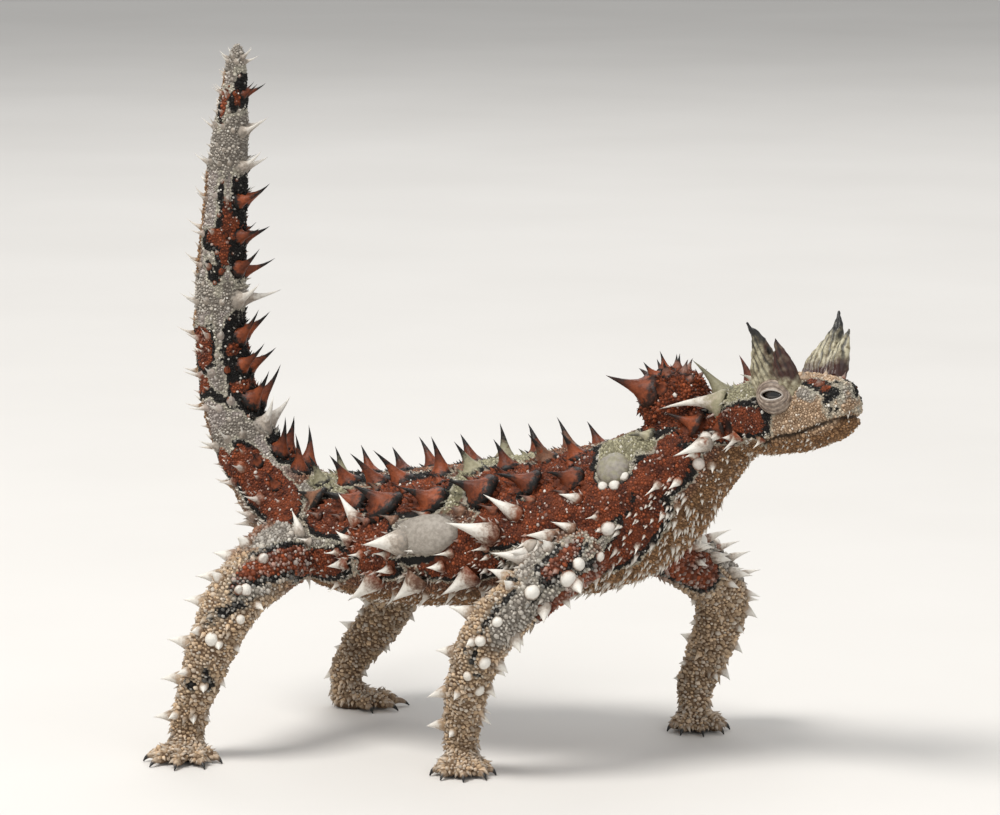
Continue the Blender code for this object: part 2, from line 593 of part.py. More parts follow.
class Thorns:
    """Sets thorns on the parts, each a little different from the next."""

    def __init__(self, body):
        self.body = body
        self.random = random.Random(SEED)

    def vary(self, value, share):
        """A size with the variation that real thorns show."""
        return value * (1.0 + self.random.uniform(-share, share))

    def on_line(self, name, line, along, angle, length, radius, lean, towards, squash=1.0):
        """A thorn on a line's flesh, moved a little along it if its own place is taken."""
        along += self.random.uniform(-MOVE_ALONG, MOVE_ALONG)
        angle += self.random.uniform(-MOVE_ROUND, MOVE_ROUND)
        length = self.vary(length, VARY_LENGTH)
        radius = self.vary(radius, VARY_RADIUS)
        lean = math.radians(self.vary(lean, VARY_LEAN))
        for aside in STEPS_ASIDE:
            place = along + aside
            root, outwards = line.point(place, angle), line.normal(place, angle)
            lie = line.frame(place)[1] * towards
            lie = (lie - outwards * lie.dot(outwards)).normalized()
            tip = root + (outwards * math.cos(lean) + lie * math.sin(lean)) * length
            if self.body.grow(name, thorn(root, outwards, tip, radius, squash), tip):
                return

    def on_surface(self, name, tree, near, direction, length, radius):
        """A thorn on a part's surface where it is nearest to a point, in a given direction."""
        root, outwards, _, _ = tree.find_nearest(near)
        tip = root + direction.normalized() * self.vary(length, VARY_HEAD)
        self.body.grow(name, thorn(root, outwards, tip, radius), tip)

    def on_trunk(self):
        """The rows along the back and flanks."""
        line = self.body.line
        low, high = line.knots[TAIL_BASE_END], line.knots[TORSO_END]
        for start, end, step, angle, length, radius, lean in TRUNK_ROWS:
            count = int((end - start) / step) + 1
            for i in range(count):
                along = line.where(0, start + step * i, low, high)
                fade = 1.0 - END_FADE * abs(2.0 * i / max(count - 1, 1) - 1.0) ** 2
                for side in (-1, 1):
                    size = (length * fade, radius * fade)
                    self.on_line("torso", line, along, side * angle, *size, lean, -1, FLANK_SQUASH)

    def on_neck(self):
        """The rows along the neck."""
        line = self.body.line
        low, high = line.knots[TORSO_END], line.knots[len(BODY_LINE)]
        for start, end, step, angle, length, radius, lean in NECK_ROWS:
            for i in range(int((end - start) / step) + 1):
                along = low + (high - low) * (start + step * i)
                for side in (-1, 1):
                    self.on_line("neck", line, along, side * angle, length, radius, lean, -1)

    def on_tail(self):
        """The whorls, each part of the tail with its own."""
        line = self.body.line
        names = ("tail_tip", "tail_middle", "tail_base")
        places = [0.0, *cut_places(line)[:3]]
        along = WHORL_STEP * 0.5
        while along < places[3] - TAIL_CLEARANCE:
            part = max(i for i in range(3) if along >= places[i])
            half_width = line.frame(along)[4][0]
            for angle, length, radius in WHORL:
                sizes = (
                    min(half_width * length, WHORL_LARGEST[0] * length) + WHORL_EXTRA,
                    min(max(half_width * radius, LEAST_RADIUS), WHORL_LARGEST[1]),
                )
                for side in (-1, 1):
                    self.on_line(names[part], line, along, side * angle, *sizes, WHORL_LEAN, -1)
            along += WHORL_STEP

    def on_leg(self, line, name, rows):
        """The rows down a leg."""
        for start, end, count, angle, length, radius in rows:
            for i in range(count):
                along = line.length * (start + (end - start) * i / (count - 1))
                part = "upper_leg" if along < line.knots[KNEE] else "lower_leg"
                fade = 1.0 - FOOT_FADE * i / (count - 1)
                sizes = (length * fade, radius * fade)
                self.on_line(f"{name}_{part}", line, along, angle, *sizes, LEG_LEAN, 1)

    def on_head(self):
        """The thorns of the head and of the knob on the nape."""
        tree = tree_of([self.body.parts["head"]])
        for place, direction, length, radius in HEAD_THORNS:
            for side in (1, -1):
                near = on_head(place[0], place[1] * side, place[2])
                towards = head_direction(direction[0], direction[1] * side, direction[2])
                self.on_surface("head", tree, near, towards, length, radius)
        tree = tree_of([self.body.parts["neck_knob"]])
        for direction, length, radius in KNOB_THORNS:
            towards = Vector(direction).normalized()
            self.on_surface("neck_knob", tree, KNOB_AT + towards * KNOB_RADII[0], towards, length, radius)


def cut_places(line):
    """The distances along the body line at which it is parted."""
    ends = (TAIL_TIP_END, TAIL_MIDDLE_END, TAIL_BASE_END, TORSO_END, len(BODY_LINE))
    return [line.knots[i] for i in ends]


def wall_of(line, start, end, kind):
    """The stretch of a line's flesh with a gap's width added all round."""
    return tube("wall", line, start, end, kind, GAP, trims=(-1.0, -1.0))


def build_flesh(body):
    """The tail in three lengths, the torso and the neck."""
    names = ("tail_tip", "tail_middle", "tail_base", "torso", "neck")
    kinds = ("tail", "tail", "tail", "torso", "neck")
    places = [0.0, *cut_places(body.line)]
    for name, kind, start, end in zip(names, kinds, places, places[1:]):
        body.add(tube(name, body.line, start, end, kind), [wall_of(body.line, start, end, kind)])


def sweep(name, points, radius, side, sides=6):
    """A round bar through points."""
    line = Line([(*point, radius, radius, radius) for point in points], side=side)
    rings = [
        [line.point(along, 360.0 * k / sides) for k in range(sides)]
        for along in np.linspace(0.0, line.length, len(points))
    ]
    bm = bmesh.new()
    add_rings(bm, rings)
    return new_object(name, bm)


def mouth_points(skull, lift):
    """The line of the mouth on the skull's surface, from one corner round the snout to the other."""
    points = []
    for turn in np.linspace(-MOUTH_REACH, MOUTH_REACH, MOUTH_POINTS):
        ahead, sideways = math.cos(math.radians(turn)), math.sin(math.radians(turn))
        level = float(np.interp(MOUTH_LONGEST * ahead, *zip(*MOUTH_LEVELS))) + lift
        origin = on_head(MOUTH_MIDDLE, 0.0, level)
        target = on_head(MOUTH_MIDDLE + ahead, sideways, level)
        points.append(skull.ray_cast(origin, target - origin)[0])
    return points


def slit(side):
    """The almond-shaped cutter of the opening between the lids."""
    outwards = head_direction(EYE_OUTWARDS[0], EYE_OUTWARDS[1] * side, EYE_OUTWARDS[2])
    ahead = head_direction(*EYE_AHEAD)
    ahead = (ahead - outwards * ahead.dot(outwards)).normalized()
    upper = outwards.cross(ahead) * side
    eye = on_head(EYE_AT[0], EYE_AT[1] * side, EYE_AT[2])
    wide, high = SLIT_HALF_SIZES
    almond = []
    for k in range(SLIT_POINTS):
        turn = 2 * math.pi * k / SLIT_POINTS
        sine = math.sin(turn)
        almond.append(ahead * (wide * math.cos(turn)) + upper * (high * sine * abs(sine) ** SLIT_POINTING))
    rings = [[eye + outwards * out + point for point in almond] for out in SLIT_DEPTHS]
    bm = bmesh.new()
    add_rings(bm, rings)
    return new_object("slit", bm)


def build_head(body):
    """The head with its lids, lips, mouth, nostrils, ears and brows, and the eyes and horns beside it."""
    line = body.line
    start = line.knots[len(BODY_LINE)]
    head = tube("head", line, start, line.length, "head", trims=(0.5, 0.0))
    skull = tree_of([head])
    left = head_axes()[1]
    added, cut, walls = [], [], [wall_of(line, start, line.length, "head")]
    lips = [mouth_points(skull, lift) for lift in (LIP_RADIUS, -LIP_RADIUS)]
    added += [sweep("lip", points, LIP_RADIUS, head_axes()[2], sides=5) for points in lips]
    for side in (-1, 1):
        eye = on_head(EYE_AT[0], EYE_AT[1] * side, EYE_AT[2])
        added.append(ball("lid", eye, (LID_RADIUS,) * 3, subdivisions=3))
        walls.append(ball("wall", eye, (LID_RADIUS + GAP,) * 3))
        brow = [on_head(x, y * side, z) for x, y, z in BROW]
        added.append(sweep("brow", brow, BROW_RADIUS, left))
        cut.append(ball("socket", eye, (EYE_RADIUS + GAP,) * 3))
        cut.append(slit(side))
        for place, radii in ((NOSTRIL_AT, (NOSTRIL_RADIUS,) * 3), (EAR_AT, EAR_RADII)):
            near = on_head(place[0], place[1] * side, place[2])
            cut.append(ball("hollow", skull.find_nearest(near)[0], radii, subdivisions=1))
    boolean(head, "UNION", added)
    boolean(head, "DIFFERENCE", cut)
    body.add(head, walls)
    for side, word in ((-1, "right"), (1, "left")):
        eye = on_head(EYE_AT[0], EYE_AT[1] * side, EYE_AT[2])
        radii = (EYE_RADIUS,) * 3
        body.add(ball(f"eye_{word}", eye, radii), [ball("wall", eye, radii)])
        build_horn(body, f"horn_{word}", side)


def build_horn(body, name, side):
    """A horn over an eye: a tall lobe that curves back and a lower one before it, as one blade."""
    line = body.line
    lobes, walls = [], []
    for stations in (HORN_REAR, HORN_FRONT):
        rows = [(*on_head(x, y * side, z), *sizes) for x, y, z, *sizes in stations]
        lobe = Line(rows, side=head_axes()[0])
        lobes.append(tube("lobe", lobe, 0.0, lobe.length, "horn", trims=(0.0, 0.0)))
        walls.append(wall_of(lobe, 0.0, lobe.length, "horn"))
    horn = lobes[0]
    horn.name = name
    boolean(horn, "UNION", [lobes[1]])
    eye = on_head(EYE_AT[0], EYE_AT[1] * side, EYE_AT[2])
    brow = [on_head(x, y * side, z) for x, y, z in BROW]
    cutters = [
        wall_of(line, line.knots[len(BODY_LINE)], line.length, "head"),
        ball("wall", eye, (LID_RADIUS + GAP,) * 3, subdivisions=3),
        sweep("brow", brow, BROW_RADIUS + GAP, head_axes()[1]),
    ]
    boolean(horn, "DIFFERENCE", cutters)
    body.add(horn, walls)


def build_knob(body):
    """The knob on the nape, which looks like a second head, cut to lie on the neck."""
    tilt = Matrix.Rotation(math.radians(KNOB_TILT), 3, "Y")
    knob = ball("neck_knob", KNOB_AT, KNOB_RADII, tilt, subdivisions=3)
    places = cut_places(body.line)
    walls = [
        wall_of(body.line, places[2], places[3], "torso"),
        wall_of(body.line, places[3], places[4], "neck"),
        wall_of(body.line, places[4], body.line.length, "head"),
    ]
    boolean(knob, "DIFFERENCE", walls)
    body.add(knob, [ball("wall", KNOB_AT, [radius + GAP for radius in KNOB_RADII], tilt)])


def build_leg(body, line, name):
    """A leg in an upper and a lower length, cut clear of the body."""
    places = cut_places(body.line)
    knee, ankle = line.knots[KNEE], line.knots[ANKLE]
    upper = tube(f"{name}_upper_leg", line, 0.0, knee, "leg")
    walls = [
        wall_of(body.line, places[1], places[2], "tail"),
        wall_of(body.line, places[2], places[3], "torso"),
        wall_of(body.line, places[3], places[4], "neck"),
    ]
    boolean(upper, "DIFFERENCE", walls)
    body.add(upper, [wall_of(line, 0.0, knee, "leg")])
    body.add(tube(f"{name}_lower_leg", line, knee, ankle, "leg"), [wall_of(line, knee, ankle, "leg")])


def toe(start, heading, length, radius):
    """A toe that slopes from the foot to the ground, and its claw."""
    ahead = direction_of(heading)
    across = Vector((-ahead.y, ahead.x, 0.0))
    upwards = Vector((0.0, 0.0, 1.0))
    rings = []
    for share, height, thick in TOE_LEVELS:
        centre = start + ahead * (length * share) + upwards * height
        ring = []
        for k in range(TOE_SIDES):
            turn = 2 * math.pi * k / TOE_SIDES
            ring.append(centre + (across * math.cos(turn) + upwards * math.sin(turn)) * (radius * thick))
        rings.append(ring)
    bm = bmesh.new()
    add_rings(bm, rings)
    root = start + ahead * (length * CLAW_ROOT) + upwards * CLAW_HEIGHT
    tip = root + ahead * (length * CLAW_SHARE) - upwards * CLAW_DROP
    claw = thorn(root, (tip - root).normalized(), tip, radius * CLAW_RADIUS)
    return [new_object("toe", bm), claw]


def direction_of(degrees):
    """The level direction that a compass angle gives, with 0 straight ahead and 90 to the left."""
    return Vector((math.cos(math.radians(degrees)), math.sin(math.radians(degrees)), 0.0))


def build_foot(body, line, name, heading, toe_length):
    """A foot: the leg's end, the sole, five toes and their claws, flat where it stands."""
    foot = tube(f"{name}_foot", line, line.knots[ANKLE], line.length, "leg")
    end = line.frame(line.length)[0]
    middle = Vector((end.x, end.y, 0.0)) + direction_of(heading) * SOLE_AHEAD
    turn = Matrix.Rotation(math.radians(heading), 3, "Z")
    pieces = [ball("sole", middle + Vector((0.0, 0.0, SOLE_HEIGHT)), SOLE_RADII, turn)]
    for fan, share in zip(TOE_FAN, TOE_SHARES):
        start = middle + direction_of(heading + fan) * TOE_ROOT
        pieces += toe(start, heading + fan, toe_length * share, TOE_RADIUS)
    boolean(foot, "UNION", pieces)
    shank = wall_of(line, line.knots[KNEE], line.knots[ANKLE], "leg")
    boolean(foot, "DIFFERENCE", [block("ground", middle, GROUND_HALF_SIZE), shank])
    radii = [radius + GAP for radius in SOLE_RADII]
    walls = [
        ball("wall", middle + Vector((0.0, 0.0, SOLE_HEIGHT)), radii, turn),
        wall_of(line, line.knots[ANKLE], line.length, "leg"),
    ]
    body.add(foot, walls)


def block(name, top_middle, half_size):
    """A cube for cutting, with the middle of its top at a point."""
    bm = bmesh.new()
    bmesh.ops.create_cube(bm, size=2.0 * half_size)
    bmesh.ops.translate(bm, vec=top_middle - Vector((0.0, 0.0, half_size)), verts=bm.verts)
    return new_object(name, bm)


def colour_of(name):
    """The colour and roughness of a part."""
    if name.startswith("eye"):
        return DARK
    if name.startswith("horn"):
        return CREAM
    if name.startswith(("torso", "tail", "neck_knob")):
        return RUST
    return TAN


def dress(item):
    """Gives a part its own material, and rounded shading between its sharp edges."""
    colour, roughness = colour_of(item.name)
    material = bpy.data.materials.new(item.name)
    material.use_nodes = True
    shader = material.node_tree.nodes["Principled BSDF"]
    shader.inputs["Base Color"].default_value = (*colour, 1.0)
    shader.inputs["Roughness"].default_value = roughness
    item.data.materials.clear()
    item.data.materials.append(material)
    item.data.shade_smooth()
    item.data.set_sharp_from_angle(angle=math.radians(SHARP_EDGE))


def centre_on_origin(items):
    """Moves the parts so that the origin is under the middle of their box, at the floor."""
    points = np.array([vertex.co for item in items for vertex in item.data.vertices])
    low, high = points.min(axis=0), points.max(axis=0)
    shift = Vector((-(low[0] + high[0]) / 2, -(low[1] + high[1]) / 2, -low[2]))
    for item in items:
        item.data.transform(Matrix.Translation(shift))


def main():
    """Builds the animal."""
    for item in list(bpy.data.objects):
        bpy.data.objects.remove(item)
    body = Body(whole_body_line())
    build_flesh(body)
    build_head(body)
    build_knob(body)
    lines = {}
    for name, stations, side, heading, toe_length, _ in LEGS:
        lines[name] = leg_line(stations, side)
        build_leg(body, lines[name], name)
        build_foot(body, lines[name], name, heading, toe_length)
    thorns = Thorns(body)
    thorns.on_head()
    thorns.on_trunk()
    thorns.on_neck()
    thorns.on_tail()
    for name, _, _, _, _, rows in LEGS:
        thorns.on_leg(lines[name], name, rows)
    body.fuse()
    parts = list(body.parts.values())
    for item in parts:
        dress(item)
    centre_on_origin(parts)


main()
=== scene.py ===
"""The looks of a life-size thorny devil in mid stride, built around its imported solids.

One skin stands for the flesh: the flesh is lofted along the body's line and the legs' lines, made one
closed surface, and shaped. Granules, scales, plates and thorns grow on it. Every piece takes its colours
from the same markings, which are worked out from how far along a line a point lies and how far round it.
Sizes are in millimetres until a mesh is made from them. +X is forward, +Y the animal's left, +Z up.
"""

import logging
import math
from dataclasses import dataclass, field
from enum import Enum

import bmesh
import bpy
import numpy as np
from mathutils import Matrix, Vector, noise
from mathutils.bvhtree import BVHTree


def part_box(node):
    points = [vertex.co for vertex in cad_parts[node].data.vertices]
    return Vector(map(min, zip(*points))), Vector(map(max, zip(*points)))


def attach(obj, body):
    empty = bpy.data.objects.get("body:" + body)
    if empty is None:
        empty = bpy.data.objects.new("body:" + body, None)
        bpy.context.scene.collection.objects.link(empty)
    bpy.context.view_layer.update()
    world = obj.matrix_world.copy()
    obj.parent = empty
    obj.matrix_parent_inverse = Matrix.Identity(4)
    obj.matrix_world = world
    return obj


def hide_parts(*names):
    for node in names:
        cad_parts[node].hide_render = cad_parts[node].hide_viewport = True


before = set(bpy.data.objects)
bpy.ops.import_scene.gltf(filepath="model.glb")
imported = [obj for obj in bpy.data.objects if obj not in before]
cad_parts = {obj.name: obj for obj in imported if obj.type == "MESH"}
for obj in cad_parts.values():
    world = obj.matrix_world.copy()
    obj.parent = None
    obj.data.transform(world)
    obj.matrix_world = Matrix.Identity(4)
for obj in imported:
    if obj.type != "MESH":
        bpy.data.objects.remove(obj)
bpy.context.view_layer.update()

log = logging.getLogger("thorny_devil")

MM = 0.001  # one millimetre in metres
THORN_SEED = 7
COAT_SEED = 23

# The head: the point midway between the eyes, and how the head is turned from straight ahead
EYE_MIDPOINT = Vector((85.0, -4.0, 58.0))
HEAD_YAW = -24.0
HEAD_PITCH = 12.0
NECK_YAW = -6.0

# The body line from the tail's tip to the shoulders:
# x, y, z, half width, height above the line, depth below it, yaw in degrees
BODY_LINE = (
    (-8.0, 0.0, 105.6, 0.5, 0.5, 0.5, 0.0),
    (-8.3, 0.0, 103.4, 1.4, 1.4, 1.4, 0.0),
    (-8.7, 0.0, 99.6, 2.0, 2.0, 2.0, 0.0),
    (-9.2, 0.0, 94.3, 2.7, 2.7, 2.6, 0.0),
    (-9.9, 0.0, 87.6, 3.2, 3.1, 3.1, 0.0),
    (-10.6, 0.0, 78.4, 3.7, 3.6, 3.6, 0.0),
    (-11.4, 0.0, 68.6, 4.1, 3.9, 3.9, 0.0),
    (-11.4, 0.0, 60.4, 4.4, 4.1, 4.2, 0.0),
    (-10.2, 0.0, 52.6, 4.8, 4.4, 4.5, 0.0),
    (-7.6, 0.0, 45.1, 5.4, 4.8, 5.0, 0.0),
    (-3.0, 0.0, 38.6, 6.6, 5.7, 6.0, 0.0),
    (2.8, 0.0, 33.8, 8.8, 7.3, 7.5, 0.0),
    (9.8, 0.0, 31.5, 12.0, 9.1, 8.7, 0.0),
    (17.2, 0.0, 31.0, 15.0, 10.1, 9.4, 0.0),
    (26.0, 0.0, 31.8, 17.2, 10.8, 10.1, 0.0),
    (35.5, 0.0, 33.1, 17.2, 11.2, 10.5, 0.0),
    (45.0, 0.0, 34.9, 15.4, 11.3, 10.8, 0.0),
    (53.6, 0.0, 37.6, 12.8, 10.6, 11.0, 0.0),
    (60.8, 0.0, 41.8, 10.4, 9.3, 9.8, -2.0),
    (67.0, 0.1, 46.6, 8.0, 7.4, 7.0, NECK_YAW),
)
TAIL_TIP_END, TAIL_MIDDLE_END, TAIL_BASE_END, TORSO_END = 5, 8, 11, 18  # places in BODY_LINE

# The rest of it, in the head's own axes from EYE_MIDPOINT:
# forward, up, half width, height above, depth below
SKULL_LINE = (
    (-13.0, -3.0, 6.4, 5.4, 5.4),
    (-9.0, -2.5, 7.1, 5.4, 6.1),
    (-5.0, -2.3, 7.4, 5.5, 6.4),
    (-1.0, -2.2, 7.0, 5.4, 6.5),
    (2.6, -2.4, 5.9, 4.9, 6.0),
    (5.4, -2.7, 5.0, 4.4, 5.4),
    (7.4, -2.9, 4.1, 4.0, 4.7),
    (8.6, -3.1, 3.0, 3.0, 3.6),
    (9.2, -3.2, 1.3, 1.3, 1.7),
)

# Each leg's line from inside the body to the ankle or wrist: x, y, z, half depth fore and aft,
# half thickness on the outer side, half thickness on the inner side
HIND_RIGHT = (
    (3.5, -3.0, 30.0, 6.0, 5.4, 5.4),
    (3.4, -10.0, 29.1, 5.8, 5.0, 5.0),
    (3.0, -17.6, 26.9, 4.9, 4.5, 4.5),
    (2.1, -23.6, 23.6, 4.2, 4.0, 4.0),
    (0.0, -25.3, 17.9, 3.6, 3.5, 3.5),
    (-2.8, -24.9, 11.2, 3.0, 3.0, 3.0),
    (-4.8, -24.5, 5.4, 2.5, 2.5, 2.5),
    (-5.0, -24.4, 2.8, 2.3, 2.3, 2.3),
)
HIND_LEFT = (
    (3.5, 3.0, 29.6, 6.0, 5.4, 5.4),
    (3.9, 9.5, 27.4, 5.7, 4.9, 4.9),
    (6.1, 15.4, 23.0, 4.8, 4.3, 4.3),
    (8.0, 20.2, 18.4, 4.0, 3.8, 3.8),
    (5.0, 21.0, 13.0, 3.4, 3.3, 3.3),
    (2.0, 19.8, 8.6, 3.0, 2.9, 2.9),
    (0.6, 18.6, 5.2, 2.5, 2.5, 2.5),
    (0.9, 18.3, 2.9, 2.3, 2.3, 2.3),
)
FORE_RIGHT = (
    (53.2, -4.0, 35.0, 5.4, 5.0, 5.0),
    (52.5, -11.6, 33.0, 5.0, 4.6, 4.6),
    (49.0, -17.4, 28.7, 4.2, 4.0, 4.0),
    (43.6, -21.2, 23.0, 3.9, 3.8, 3.8),
    (40.3, -20.6, 16.9, 3.5, 3.5, 3.5),
    (37.9, -18.4, 11.0, 3.0, 2.9, 2.9),
    (36.4, -16.4, 5.4, 2.5, 2.5, 2.5),
    (36.4, -16.2, 2.9, 2.3, 2.3, 2.3),
)
FORE_LEFT = (
    (54.3, 4.0, 34.4, 5.4, 5.0, 5.0),
    (56.4, 11.6, 31.2, 5.0, 4.7, 4.7),
    (59.4, 18.8, 26.9, 4.4, 4.3, 4.3),
    (61.5, 24.2, 21.9, 4.0, 3.9, 3.9),
    (60.2, 26.2, 16.0, 3.7, 3.7, 3.7),
    (57.8, 27.0, 10.2, 3.1, 3.1, 3.1),
    (56.2, 26.8, 5.4, 2.6, 2.6, 2.6),
    (56.3, 26.6, 2.9, 2.4, 2.4, 2.4),
)
KNEE, ANKLE = 3, 6  # places in each leg's line


class Slot(Enum):
    """The record's material slots."""

    BACK = "back_skin"
    LIMB = "limb_skin"
    HORN = "horn"
    EYE = "eye"


class Side(Enum):
    """A side of the animal, by the sign of its +Y."""

    RIGHT = -1
    LEFT = 1


def unit(rows: np.ndarray) -> np.ndarray:
    """Rows scaled to length one.

    Args:
        rows: One vector a row.

    Returns:
        The rows, each of length one.
    """
    return rows / np.maximum(np.linalg.norm(rows, axis=-1, keepdims=True), 1e-9)


def head_axes() -> tuple[Vector, Vector, Vector]:
    """The head's forward, left and upper directions.

    Returns:
        The three directions.
    """
    yaw, pitch = math.radians(HEAD_YAW), math.radians(HEAD_PITCH)
    forward = Vector((math.cos(yaw) * math.cos(pitch), math.sin(yaw) * math.cos(pitch), math.sin(pitch)))
    left = Vector((-math.sin(yaw), math.cos(yaw), 0.0))
    return forward, left, forward.cross(left)


def head_turn(forward: float, left: float, up: float) -> Vector:
    """A vector given in the head's own axes.

    Args:
        forward: How far forward.
        left: How far to the left.
        up: How far up.

    Returns:
        The vector in the plan.
    """
    ahead, sideways, upwards = head_axes()
    return ahead * forward + sideways * left + upwards * up


def on_head(forward: float, left: float, up: float) -> Vector:
    """A point given in the head's own axes.

    Args:
        forward: How far forward.
        left: How far to the left.
        up: How far up.

    Returns:
        The point in the plan.
    """
    return EYE_MIDPOINT + head_turn(forward, left, up)


class Line:
    """A smooth line through stations, with the ring of flesh that stands on each point of it."""

    def __init__(self, stations: tuple, side: tuple, turn: int = 1) -> None:
        """Takes the stations, the direction of the rings' sides, and 1 or -1 for the upper side.

        Args:
            stations: The points, with the sizes of the ring at each.
            side: The direction of the rings' sides.
            turn: 1, or -1 where the upper side is turned over.
        """
        self.rows = np.array(stations, float)
        self.side = Vector(side)
        self.turn = turn
        lengths = np.linalg.norm(np.diff(self.rows[:, :3], axis=0), axis=1)
        self.knots = np.concatenate([[0.0], np.cumsum(lengths)])
        slopes = np.diff(self.rows, axis=0) / lengths[:, None]
        inner = (slopes[:-1] * lengths[1:, None] + slopes[1:] * lengths[:-1, None]) / (
            lengths[1:] + lengths[:-1]
        )[:, None]
        self.slopes = np.vstack([slopes[:1], inner, slopes[-1:]])
        self.length = float(self.knots[-1])

    def row(self, along: float) -> tuple[np.ndarray, np.ndarray]:
        """All the values of a station, and their slopes, at a distance along the line.

        Args:
            along: The distance along the line.

        Returns:
            The values and their slopes.
        """
        i = int(np.clip(np.searchsorted(self.knots, along) - 1, 0, len(self.knots) - 2))
        step = self.knots[i + 1] - self.knots[i]
        t = (along - self.knots[i]) / step
        a, b = self.rows[i], self.rows[i + 1]
        m, n = self.slopes[i] * step, self.slopes[i + 1] * step
        value = (
            (2 * t**3 - 3 * t**2 + 1) * a
            + (t**3 - 2 * t**2 + t) * m
            + (3 * t**2 - 2 * t**3) * b
            + (t**3 - t**2) * n
        )
        slope = ((6 * t**2 - 6 * t) * (a - b) + (3 * t**2 - 4 * t + 1) * m + (3 * t**2 - 2 * t) * n) / step
        return value, slope

    def frame(self, along: float) -> tuple[Vector, Vector, Vector, Vector, np.ndarray]:
        """The centre, the direction onwards, the side and the upper direction, and the three sizes.

        Args:
            along: The distance along the line.

        Returns:
            The centre, three directions and the sizes.
        """
        value, slope = self.row(along)
        onwards = Vector(slope[:3]).normalized()
        side = self.side.copy()
        if len(value) > 6:
            side.rotate(Matrix.Rotation(math.radians(value[6]), 3, "Z"))
        side = (side - onwards * side.dot(onwards)).normalized()
        upper = onwards.cross(side) * self.turn
        return Vector(value[:3]), onwards, side, upper, value[3:6]

    def point(self, along: float, angle: float) -> Vector:
        """The point of the surface at an angle, in degrees from the upper side towards the side.

        Args:
            along: The distance along the line.
            angle: The angle round the line, in degrees.

        Returns:
            The point.
        """
        centre, _, side, upper, (width, above, below) = self.frame(along)
        sine, cosine = math.sin(math.radians(angle)), math.cos(math.radians(angle))
        height = above if cosine > 0 else below
        return centre + side * (width * sine) + upper * (height * cosine)

    def where(self, axis: int, value: float, low: float, high: float) -> float:
        """The distance along the line at which a coordinate has a value, found by halving.

        Args:
            axis: The number of the coordinate.
            value: Its value.
            low: The lower end.
            high: The upper end.

        Returns:
            The distance.
        """
        rising = self.row(high)[0][axis] > self.row(low)[0][axis]
        for _ in range(40):
            middle = (low + high) / 2
            if (self.row(middle)[0][axis] < value) == rising:
                low = middle
            else:
                high = middle
        return (low + high) / 2


@dataclass(frozen=True)
class Leg:
    """A leg.

    Fields:
        name: Its name in the record.
        line: The line of its flesh.
        heading: The compass direction of its middle toe, in degrees.
        toe_length: That toe's length.
        side: Its side of the animal.
    """

    name: str
    line: Line
    heading: float
    toe_length: float
    side: Side

    @property
    def sole(self) -> Vector:
        """The point of the floor under the middle of the foot.

        Returns:
            The point.
        """
        end = self.line.frame(self.line.length)[0]
        turn = math.radians(self.heading)
        return Vector((end.x + math.cos(turn) * SOLE_AHEAD, end.y + math.sin(turn) * SOLE_AHEAD, 0.0))


SOLE_AHEAD = 0.9
SOLE_RADII = (3.3, 3.0, 2.1)
SOLE_HEIGHT = 1.35
FLOOR_GAP = 0.03  # neither a claw nor anything that is planted reaches lower than this
SKIN_GAP = 0.02  # and the skin no lower than this
TOE_FAN = (-62.0, -30.0, 0.0, 30.0, 62.0)  # degrees from the middle toe
TOE_SHARES = (0.72, 0.92, 1.0, 0.94, 0.74)  # each toe's share of the toe length
TOE_ROOT = 1.2
TOE_RADIUS = 1.05
# Levels of a toe: share of its length, height in millimetres, thickness as a share of its radius
TOE_LEVELS = ((0.0, 1.5, 1.05), (0.35, 1.42, 1.0), (0.7, 1.15, 0.95), (0.92, 0.85, 0.8), (1.0, 0.7, 0.5))

BODY = Line(
    BODY_LINE + tuple((*on_head(ahead, 0.0, up), *sizes, HEAD_YAW) for ahead, up, *sizes in SKULL_LINE),
    side=(0, 1, 0),
)
LEGS = (
    Leg("hind_right", Line(HIND_RIGHT, (1, 0, 0), 1), -74.0, 5.8, Side.RIGHT),
    Leg("hind_left", Line(HIND_LEFT, (1, 0, 0), -1), 25.0, 5.8, Side.LEFT),
    Leg("fore_right", Line(FORE_RIGHT, (1, 0, 0), 1), -64.0, 4.5, Side.RIGHT),
    Leg("fore_left", Line(FORE_LEFT, (1, 0, 0), -1), -58.0, 4.5, Side.LEFT),
)

EYE_LEFT = 5.1  # how far each eye's middle is from the head's midline
EYE_AHEAD = 0.42  # how far an eye looks ahead, as a share of how far it looks outwards
EYE_UP = 0.06  # how far it looks up, as the same share
CORNER_RISE = -0.1  # how far the front corner of an eye is above the rear one, as a share
SOCKET_RADIUS = 2.9  # how wide the flat is that the lids stand on
SOCKET_EDGE = 0.8  # how wide its edge is
SOCKET_HEIGHT = 0.4  # how far it is out from the middle of the eye
KNOB_AT = Vector((63.4, 0.2, 54.8))
KNOB_RADII = (5.6, 4.7, 5.0)
KNOB_TILT = -34.0


def plan_to_frame() -> Vector:
    """How far the plan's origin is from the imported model's, found from the right eye.

    Returns:
        The distance, in metres.
    """
    low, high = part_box("eye_right")
    return (low + high) / 2 - on_head(0.0, -EYE_LEFT, 0.0) * MM


SHIFT = plan_to_frame()


